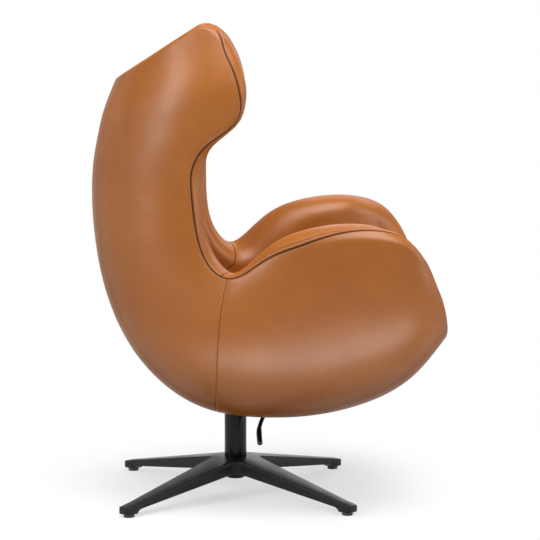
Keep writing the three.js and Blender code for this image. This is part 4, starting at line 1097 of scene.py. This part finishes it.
class CHAIR_OT_stitching(bpy.types.Operator):
    """Lays the welt into the edge seam and sews the seams beside it"""

    bl_idname = "chair.stitching"
    bl_label = "Stitching"

    def execute(self, context):
        look = context.scene.chair_seams
        rim = [RIM_VERTEX[key] for key in RIM]
        path = [placed(v, *roll_point(v, v["seam"], WELT_INSET)) for v in rim]
        normals = [roll_normal(v, v["seam"]) for v in rim]
        welt = rope("edge_welt", path, normals, look.welt, look.stitch, sink=WELT_SINK, closed=True)
        finish_piece(welt, thread(), "leather", "seat")
        for side, name in ((-1, "arm_stitches_right"), (1, "arm_stitches_left")):
            arm = [v for v in rim if v["side"] == side and arm_share(v["s"]) > 0.5]
            path, normals = [], []
            for v in arm:
                degrees = degrees_at(v, v["seam_length"] + STITCH_LINE)
                path.append(placed(v, *roll_point(v, degrees, THREAD_INSET + v["soft"])))
                normals.append(roll_normal(v, degrees))
            stitches = rope(name, path, normals, ARM_THREAD, look.stitch * STITCH_SHARE, sink=THREAD_SINK)
            finish_piece(stitches, thread(), "leather", "seat")
        for name, row, inset in (
            ("back_seam_thread", SPLIT_ROW, SPLIT_INSET),
            ("back_stitches", self.row_beside_split(), THREAD_INSET),
        ):
            depth = GRID_PADDING[row] - GRID_SOFT[row] - inset
            points = GRID_POINT[row] + GRID_INWARD[row] * depth[:, None]
            pitch = look.stitch * STITCH_SHARE
            line = rope(name, points, GRID_INWARD[row], SPLIT_THREAD, pitch, sink=THREAD_SINK)
            finish_piece(line, thread(), "leather", "seat")
        return {"FINISHED"}

    def row_beside_split(self):
        """The row of the back's pad that carries its stitches."""
        line = PAD_SPLIT - np.array(ROW_LINES[:END_ROW])
        return int(np.argmin(np.abs(line * METRES_PER_STATION - SPLIT_STITCH)))


class CHAIR_OT_seat_cushion(bpy.types.Operator):
    """Fills the loose seat cushion and sews its piping on"""

    bl_idname = "chair.seat_cushion"
    bl_label = "Seat cushion"

    def execute(self, context):
        look = context.scene.chair_cushion
        source = frame["nodes"]["seat_cushion"]
        cushion = face_outwards(link_object("seat_cushion_hide", source.data.copy()), merge=True)
        low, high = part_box("seat_cushion")
        seat = frame["nodes"]["inner_seat_pad"].data
        pad = BVHTree.FromPolygons([v.co for v in seat.vertices], [p.vertices for p in seat.polygons])
        for vertex in cushion.data.vertices:
            _, normal, _, away = pad.find_nearest(vertex.co)
            if away < MM:
                vertex.co -= normal * look.root
        apply_modifier(cushion, "DISPLACE", strength=-0.5 * look.swell, mid_level=0.0)
        apply_modifier(cushion, "REMESH", mode="VOXEL", voxel_size=look.voxel)
        self.fill(context, cushion, look)
        apply_modifier(cushion, "SUBSURF", levels=1, render_levels=1)
        self.press(cushion, look)
        cushion.data.shade_smooth()
        finish_piece(cushion, leather(), "padding", "seat", "seat_cushion")
        self.pipe(cushion, look, low, high)
        return {"FINISHED"}

    def fill(self, context, cushion, look):
        """Blows the cushion up under pressure, no further than the swell."""
        before = np.array([v.co for v in cushion.data.vertices])
        choose(cushion)
        cloth = cushion.modifiers.new("filling", "CLOTH")
        for key, value in FILLING.items():
            setattr(cloth.settings, key, value)
        cloth.settings.effector_weights.gravity = 0
        cloth.collision_settings.use_collision = False
        cloth.point_cache.frame_start = 1
        cloth.point_cache.frame_end = look.frames
        for number in range(1, look.frames + 1):
            context.scene.frame_set(number)
        choose(cushion)
        bpy.ops.object.modifier_apply(modifier=cloth.name)
        context.scene.frame_set(1)
        after = np.array([v.co for v in cushion.data.vertices])
        move = after - before
        length = np.linalg.norm(move, axis=1, keepdims=True)
        share = np.where(before[:, 2:] < CUSHION_LOW, LOW_SWELL, 1.0)
        move = move / np.maximum(length, 1e-9) * np.minimum(length, look.swell) * share
        cushion.data.vertices.foreach_set("co", (before + move).ravel())
        cushion.data.update()

    def press(self, cushion, look):
        """Presses the cushion's thin lower edge into the seat's padding."""
        seat = bpy.data.objects["inner_hide_seat"]
        pad = BVHTree.FromObject(seat, bpy.context.evaluated_depsgraph_get())
        for vertex in cushion.data.vertices:
            spot, normal, _, _ = pad.find_nearest(vertex.co)
            above = (vertex.co - spot).dot(normal)
            share = 1 - float(eased(look.press, 4 * look.press, above))
            vertex.co += normal * (share * (-look.sink - above))

    def pipe(self, cushion, look, low, high):
        """Sews a round piping along the edge of the top panel."""
        tree = BVHTree.FromObject(cushion, bpy.context.evaluated_depsgraph_get())
        middle = (low + high) / 2
        middle.z = low.z + (high.z - low.z) * PIPING_SHARE
        path, normals = [], []
        for k in range(PIPING_POINTS):
            turn = 2 * math.pi * k / PIPING_POINTS
            start = middle + Vector((math.cos(turn), math.sin(turn), 0)) * OUTSIDE_CUSHION
            hit, normal, _, _ = tree.ray_cast(start, (middle - start).normalized())
            if hit is None:
                raise RuntimeError("the piping found no cushion")
            path.append(np.array(hit))
            normals.append(np.array(normal))
        path, normals = np.array(path), np.array(normals)
        for _ in range(PIPING_ROUNDS):
            path = (np.roll(path, 1, 0) + 2 * path + np.roll(path, -1, 0)) / 4
        tube = rope("cushion_piping", path, normals, look.piping, PIPING_PITCH, closed=True)
        finish_piece(tube, leather(), "padding", "seat")


class CHAIR_OT_base_star(bpy.types.Operator):
    """Casts the four-legged star"""

    bl_idname = "chair.base_star"
    bl_label = "Base star"

    def execute(self, context):
        look = context.scene.chair_base
        deselect()
        bpy.ops.mesh.primitive_plane_add(size=LEG["root"])
        star = named(context.object, "star_casting")
        bpy.ops.object.mode_set(mode="EDIT")
        for direction in (Vector((1, 0, 0)), Vector((0, 1, 0)), Vector((-1, 0, 0)), Vector((0, -1, 0))):
            self.draw_leg(star, direction)
        bpy.ops.mesh.select_mode(type="FACE")
        bpy.ops.mesh.select_all(action="SELECT")
        bpy.ops.mesh.extrude_region_move(TRANSFORM_OT_translate={"value": (0, 0, -BLANK_DEPTH)})
        self.shape_heights(star)
        self.round_corners(star, look.fillet)
        leave_edit()
        star.rotation_euler.z = math.radians(LEG["turn"])
        star.location = (0, COLUMN_Y, 0)
        settle(star)
        deselect()
        bpy.ops.mesh.primitive_cylinder_add(
            vertices=96, radius=BORE_RADIUS, depth=0.2, location=(0, COLUMN_Y, 0.1),
        )
        bore = settle(context.object)
        apply_modifier(star, "BOOLEAN", operation="DIFFERENCE", object=bore, solver="EXACT")
        bpy.data.objects.remove(bore)
        rounded_edges(star, look.edge, 3, 28)
        smooth_by_angle(star, 40)
        finish_piece(star, powder_coat(), "black_paint", "base", "base_star")
        return {"FINISHED"}

    def leg_half_width(self, radius):
        share = (radius - LEG["start"]) / (FOOT_FROM - LEG["start"])
        share = min(1.0, max(0.0, share))
        return (LEG["root"] + (LEG["tip"] - LEG["root"]) * share) / 2

    def draw_leg(self, star, direction):
        """Extrudes a leg from the hub's side, stop by stop."""
        reached = LEG["root"] / 2

        def at_the_end(edge):
            return all(abs(v.co.dot(direction) - reached) < TOUCH for v in edge.verts)

        for stop in (
            *LEG_STOPS, FOOT_FROM - FOOT_STEP, FOOT_FROM, FOOT_FROM + FOOT_STEP / 2, FOOT_FROM + FOOT_STEP,
            LEG["reach"] - TOE_CORNER, LEG["reach"],
        ):
            select_where(star, "EDGE", at_the_end)
            share = self.leg_half_width(stop) / self.leg_half_width(reached)
            bpy.ops.mesh.extrude_region_move(
                TRANSFORM_OT_translate={"value": tuple(direction * (stop - reached))})
            size = (1 if direction.x else share, 1 if direction.y else share, 1)
            bpy.ops.transform.resize(value=size, center_override=(0, 0, 0))
            reached = stop

    def shape_heights(self, star):
        """Slopes the legs' tops and arches their undersides down to the feet."""
        h = LEG_HEIGHTS
        underside = [
            (0, h["hub_under"]),
            (LEG["start"], h["hub_under"]),
            (FOOT_FROM - FOOT_STEP, h["arch"]),
            (FOOT_FROM + FOOT_STEP / 2, (h["arch"] + h["foot"]) / 2),
            (FOOT_FROM + FOOT_STEP, h["foot"]),
            (LEG["reach"] - TOE_CORNER, h["foot"]),
            (LEG["reach"], h["foot"] + TOE_LIFT),
        ]
        radii, unders = zip(*underside)
        shape = bmesh.from_edit_mesh(star.data)
        for vertex in shape.verts:
            radius = max(abs(vertex.co.x), abs(vertex.co.y))
            if vertex.co.z > -BLANK_DEPTH / 2:
                share = max(0.0, (radius - LEG["start"]) / (LEG["reach"] - LEG["start"]))
                vertex.co.z = h["hub"] + (h["tip"] - h["hub"]) * share
            else:
                vertex.co.z = float(np.interp(radius, radii, unders))
        bmesh.update_edit_mesh(star.data)

    def round_corners(self, star, fillet):
        """Rounds the upright edges between the legs and at their toes."""

        def upright(edge):
            a, b = (v.co for v in edge.verts)
            return (a.xy - b.xy).length < TOUCH

        def between_legs(edge):
            place = edge.verts[0].co
            return upright(edge) and all(abs(abs(c) - LEG["root"] / 2) < TOUCH for c in place.xy)

        def at_a_toe(edge):
            place = edge.verts[0].co
            return upright(edge) and abs(max(abs(c) for c in place.xy) - LEG["reach"]) < TOUCH

        for test, width, segments in ((between_legs, fillet, 5), (at_a_toe, TOE_CORNER, 2)):
            select_where(star, "EDGE", test)
            bpy.ops.mesh.bevel(offset=width, segments=segments, affect="EDGES", clamp_overlap=False)


class CHAIR_OT_column(bpy.types.Operator):
    """Turns the column tube and the cap under the hub"""

    bl_idname = "chair.column"
    bl_label = "Column"

    def execute(self, context):
        low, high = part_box("column_tube")
        tube = on_column(cylinder("gloss_column", low, high, 128, "NOTHING"), low, high)
        apply_modifier(tube, "SOLIDIFY", thickness=TUBE_WALL, offset=-1)
        rounded_edges(tube, 0.0006, 2)
        smooth_by_angle(tube)
        finish_piece(tube, gloss_enamel(), "gloss_black", "base", "column_tube")
        low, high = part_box("column_cap")
        cap = on_column(cylinder("hub_cap", low, high, 96), low, high)
        recess_underside(cap, 0.004, 0.0025)
        rounded_edges(cap, 0.0012, 3)
        smooth_by_angle(cap)
        finish_piece(cap, gloss_enamel(), "black_plastic", "base", "column_cap")
        return {"FINISHED"}


class CHAIR_OT_foot_glides(bpy.types.Operator):
    """Turns the glide under each foot"""

    bl_idname = "chair.foot_glides"
    bl_label = "Foot glides"

    def execute(self, context):
        boxes = [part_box(f"foot_glide_{number}") for number in (1, 2, 3, 4)]
        glide = cylinder("glide_pad", *boxes[0], 64)
        recess_underside(glide, 0.0022, 0.0006)
        rounded_edges(glide, 0.0009, 3)
        smooth_by_angle(glide)
        glides = [glide] + [link_object("glide_pad", glide.data.copy()) for _ in boxes[1:]]
        for number, (glide, (low, high)) in enumerate(zip(glides, boxes), 1):
            named(glide, f"glide_pad_{number}")
            glide.location = (low + high) / 2
            settle(glide)
            finish_piece(glide, black_plastic(), "black_plastic", "base", f"foot_glide_{number}")
        return {"FINISHED"}


def lever_path(steps):
    """Points of the lever's bent rod, by a centripetal curve through its shares."""
    out, sway, fall = LEVER_SPAN
    knots = [LEVER_PIN + Vector((-out * o, sway * w, -fall * f)) for o, w, f in LEVER_SHARES]
    knots = [2 * knots[0] - knots[1]] + knots + [2 * knots[-1] - knots[-2]]
    points = []
    for k in range(1, len(knots) - 2):
        a, b, c, d = knots[k - 1 : k + 3]
        times = [0.0]
        for p, q in ((a, b), (b, c), (c, d)):
            times.append(times[-1] + max(1e-6, (q - p).length) ** 0.5)
        for n in range(steps):
            t = times[1] + (times[2] - times[1]) * n / steps
            points.append(blended(t, times, (a, b, c, d)))
    points.append(knots[-2])
    return points


def blended(t, times, knots):
    """The curve's point at a time, by blending its four knots pair by pair."""
    level = list(knots)
    for span in (1, 2, 3):
        level = [
            level[i] * ((times[i + span] - t) / (times[i + span] - times[i]))
            + level[i + 1] * ((t - times[i]) / (times[i + span] - times[i]))
            for i in range(len(level) - 1)
        ]
    return level[0]


def bar(name, points, radii, sides=24):
    """A round bar along points, by a curve that becomes a mesh."""
    curve = bpy.data.curves.new(name, "CURVE")
    curve.dimensions = "3D"
    curve.bevel_depth = 1.0
    curve.bevel_resolution = sides // 4
    curve.use_fill_caps = True
    line = curve.splines.new("POLY")
    line.points.add(len(points) - 1)
    for spot, point, radius in zip(line.points, points, radii):
        spot.co = (*point, 1)
        spot.radius = radius
    choose(link_object(name, curve))
    bpy.ops.object.convert(target="MESH")
    return face_outwards(named(bpy.context.object, name), merge=True)


class CHAIR_OT_lock_lever(bpy.types.Operator):
    """Bends the lock lever and moulds its grip"""

    bl_idname = "chair.lock_lever"
    bl_label = "Lock lever"

    def execute(self, context):
        points = lever_path(LEVER_STEPS)
        lengths = [0.0]
        for a, b in zip(points[:-1], points[1:]):
            lengths.append(lengths[-1] + (b - a).length)
        grip_start = lengths[-1] - GRIP_LENGTH
        self.bend_bar([p for p, s in zip(points, lengths) if s < grip_start + BAR_IN_GRIP])
        self.mould_grip([(p, s - grip_start) for p, s in zip(points, lengths) if s >= grip_start])
        return {"FINISHED"}

    def bend_bar(self, points):
        """Joins the bent bar to the barrel and the tongue of the frame's lever."""
        body = bar("lever_bar", points, [BAR_RADIUS] * len(points))
        barrel = refined("lever_rod", "lever_barrel", 0.0006)
        edit(barrel)
        bpy.ops.mesh.select_all(action="SELECT")
        bpy.ops.mesh.bisect(
            plane_co=(LEVER_PIN.x - BARREL_REACH, 0, 0), plane_no=(-1, 0, 0), clear_outer=True,
            use_fill=True,
        )
        leave_edit()
        choose(barrel)
        body.select_set(True)
        bpy.ops.object.join()
        rod = named(bpy.context.object, "lever_bar")
        smooth_by_angle(rod)
        finish_piece(rod, powder_coat(), "black_paint", "lever", "lever_rod")

    def mould_grip(self, spans):
        """A grip that flares from its neck and ends in a dome."""
        spots, radii = [], []
        for spot, into in spans:
            spots.append(spot)
            radii.append(GRIP_RADIUS * (GRIP_NECK + (1 - GRIP_NECK) * min(1.0, into / GRIP_FLARE)))
        spots.insert(0, spots[0] - (spots[1] - spots[0]).normalized() * GRIP_LIP)
        radii.insert(0, GRIP_LIP_RADIUS)
        end = spots[-1]
        direction = (end - spots[-2]).normalized()
        for k in range(1, DOME_STEPS + 1):
            turn = math.pi / 2 * k / DOME_STEPS
            spots.append(end + direction * GRIP_RADIUS * math.sin(turn))
            radii.append(max(DOME_END, GRIP_RADIUS * math.cos(turn)))
        grip = bar("lever_handle", spots, radii, 32)
        smooth_by_angle(grip, 40)
        finish_piece(grip, grip_plastic(), "black_plastic", "lever", "lever_grip")


class CHAIR_OT_rocker_parts(bpy.types.Operator):
    """Finishes the trim and the mechanism under the shell"""

    bl_idname = "chair.rocker_parts"
    bl_label = "Rocker parts"

    def execute(self, context):
        finishes = {
            "black_paint": powder_coat, "steel": bright_steel, "black_plastic": black_plastic,
            "white_plastic": bush_plastic, "rubber": rubber, "moulded_shell": moulded, "plywood": plywood,
            "gloss_black": gloss_enamel,
        }
        slots = {part["node"]: part["material_slot"] for part in frame["record"]["subparts"]}
        bodies = frame["record"]["behaviour"]["bodies"]
        body_of = {node: body for body, members in bodies.items() for node in members}
        edges = {
            "bottom_collar": ("shell_trim", 0.0012), "mechanism_pan": ("rocker_pan", 0.0008),
            "seat_plate": ("seat_plate_pressing", 0.0008), "lever_bracket": ("lever_yoke", 0.0005),
            "pivot_nut_left": ("shaft_nut_left", 0.0008), "pivot_nut_right": ("shaft_nut_right", 0.0008),
            "spindle_nut": ("column_nut", 0.0008), "front_stop": ("front_buffer", 0.0008),
            "rear_stop": ("rear_buffer", 0.0012), "lock_sector": ("lock_plate", 0.0004),
            "pivot_shaft": ("rocker_shaft", 0.001), "lever_pin": ("lever_hinge_pin", 0.0005),
            **{f"seat_bolt_{k}": (f"bolt_{k}", 0.0004) for k in (1, 2, 3, 4)},
        }
        for node, (name, edge) in edges.items():
            piece = refined(node, name, edge)
            finish_piece(piece, finishes[slots[node]](), slots[node], body_of[node], node)
        for node, obj in frame["nodes"].items():
            if obj.hide_render:
                continue
            obj.data.materials.clear()
            obj.data.materials.append(finishes[slots[node]]())
        return {"FINISHED"}


class CHAIR_OT_stage(bpy.types.Operator):
    """Lays the floor and sets the lights and the camera"""

    bl_idname = "chair.stage"
    bl_label = "Stage"

    def execute(self, context):
        look = context.scene.chair_stage
        self.floor(look)
        self.lights(context, look)
        data = bpy.data.cameras.new("view")
        data.lens = CAMERA_LENS
        data.sensor_width = CAMERA_SENSOR
        camera = link_object("view", data)
        camera.location = CAMERA_PLACE
        aim = Vector((
            math.cos(CAMERA_YAW) * math.cos(CAMERA_PITCH),
            -math.sin(CAMERA_YAW) * math.cos(CAMERA_PITCH),
            -math.sin(CAMERA_PITCH),
        ))
        camera.rotation_euler = aim.to_track_quat("-Z", "Y").to_euler()
        context.scene.camera = camera
        context.scene.view_settings.view_transform = "Standard"
        return {"FINISHED"}

    def floor(self, look):
        """A pale floor with walls. Away from the chair it fades to white."""
        deselect()
        bpy.ops.mesh.primitive_plane_add(size=FLOOR_SIZE, location=(-6, 0, 0))
        floor = settle(named(bpy.context.object, "floor"))
        edit(floor)
        bpy.ops.mesh.select_mode(type="EDGE")
        bpy.ops.mesh.select_all(action="SELECT")
        bpy.ops.mesh.extrude_edges_move(TRANSFORM_OT_translate={"value": (0, 0, WALL_HEIGHT)})
        leave_edit()
        n = Nodes("pale_floor")
        n.tree.nodes.remove(n.shader)
        speck = n.texture("ShaderNodeTexNoise", Scale=3.0, Detail=3.0)
        darker = tuple(c * 0.985 for c in look.floor)
        pale = n.add("ShaderNodeBsdfDiffuse")
        n.link(n.mixed(speck.outputs["Fac"], look.floor, darker), pale.inputs["Color"])
        dim = n.add("ShaderNodeBsdfDiffuse", Color=(0.2, 0.2, 0.2, 1))
        white = n.add("ShaderNodeEmission", Color=(1, 1, 1, 1))
        across, along = SHADOW_REACH
        place = n.add(
            "ShaderNodeMapping", Location=(0, -COLUMN_Y / along, 0), Scale=(1 / across, 1 / along, 0),
        )
        n.link(n.coordinates, place.inputs["Vector"])
        away = n.add("ShaderNodeVectorMath", operation="LENGTH")
        n.link(place.outputs["Vector"], away.inputs[0])
        fade = n.add(
            "ShaderNodeMapRange", interpolation_type="SMOOTHSTEP", From_Min=SHADOW_FROM, From_Max=1.0,
            To_Min=1 - look.shadow,
        )
        n.link(away.outputs["Value"], fade.inputs["Value"])
        ray = n.add("ShaderNodeLightPath")
        mirrored = n.larger(ray.outputs["Is Glossy Ray"], ray.outputs["Is Transmission Ray"])
        seen = n.larger(ray.outputs["Is Camera Ray"], mirrored)
        unseen_look = n.shaders(fade.outputs["Result"], pale.outputs[0], dim.outputs[0])
        seen_look = n.shaders(fade.outputs["Result"], pale.outputs[0], white.outputs[0])
        surface = n.tree.nodes["Material Output"].inputs["Surface"]
        n.link(n.shaders(seen, unseen_look, seen_look), surface)
        floor.data.materials.append(n.material)

    def lights(self, context, look):
        world = bpy.data.worlds.new("room")
        world.use_nodes = True
        back = world.node_tree.nodes["Background"]
        back.inputs["Color"].default_value = (1, 1, 1, 1)
        back.inputs["Strength"].default_value = look.sky
        context.scene.world = world
        for name, setting, size, place in LAMPS:
            data = bpy.data.lights.new(name, "AREA")
            data.shape = "RECTANGLE"
            data.size, data.size_y = size
            data.energy = getattr(look, setting)
            lamp = link_object(name, data)
            lamp.location = place
            if setting == "low":
                data.spread = LOW_SPREAD
                lamp.rotation_euler = (math.pi, 0, 0)
            else:
                lamp.rotation_euler = (LIGHTS_AIM - Vector(place)).to_track_quat("-Z", "Y").to_euler()


class CHAIR_PT_panel(bpy.types.Panel):
    """Lists the pieces of the chair."""

    bl_idname = "CHAIR_PT_panel"
    bl_label = "Swivel rocker"
    bl_space_type = "VIEW_3D"
    bl_region_type = "UI"
    bl_category = "Chair"

    def draw(self, context):
        for name in SETTINGS:
            box = self.layout.box()
            group = getattr(context.scene, name)
            for key in group.bl_rna.properties.keys():
                if key not in ("rna_type", "name"):
                    box.prop(group, key)
        for operator in PIECES:
            self.layout.operator(operator.bl_idname)


SETTINGS = {
    "chair_leather": LeatherSettings,
    "chair_seams": SeamSettings,
    "chair_cushion": CushionSettings,
    "chair_base": BaseSettings,
    "chair_stage": StageSettings,
}
PIECES = (
    CHAIR_OT_outer_cover,
    CHAIR_OT_inner_pads,
    CHAIR_OT_stitching,
    CHAIR_OT_seat_cushion,
    CHAIR_OT_base_star,
    CHAIR_OT_column,
    CHAIR_OT_foot_glides,
    CHAIR_OT_lock_lever,
    CHAIR_OT_rocker_parts,
    CHAIR_OT_stage,
)


def register():
    for group in (*SETTINGS.values(), *PIECES, CHAIR_PT_panel):
        bpy.utils.register_class(group)
    for name, group in SETTINGS.items():
        setattr(bpy.types.Scene, name, PointerProperty(type=group))


def unregister():
    for name in SETTINGS:
        delattr(bpy.types.Scene, name)
    for group in (CHAIR_PT_panel, *reversed(PIECES), *reversed(SETTINGS.values())):
        bpy.utils.unregister_class(group)


def main():
    register()
    bpy.ops.chair.outer_cover()
    bpy.ops.chair.inner_pads()
    bpy.ops.chair.stitching()
    bpy.ops.chair.seat_cushion()
    bpy.ops.chair.base_star()
    bpy.ops.chair.column()
    bpy.ops.chair.foot_glides()
    bpy.ops.chair.lock_lever()
    bpy.ops.chair.rocker_parts()
    bpy.ops.chair.stage()


if __name__ == "__main__":
    main()
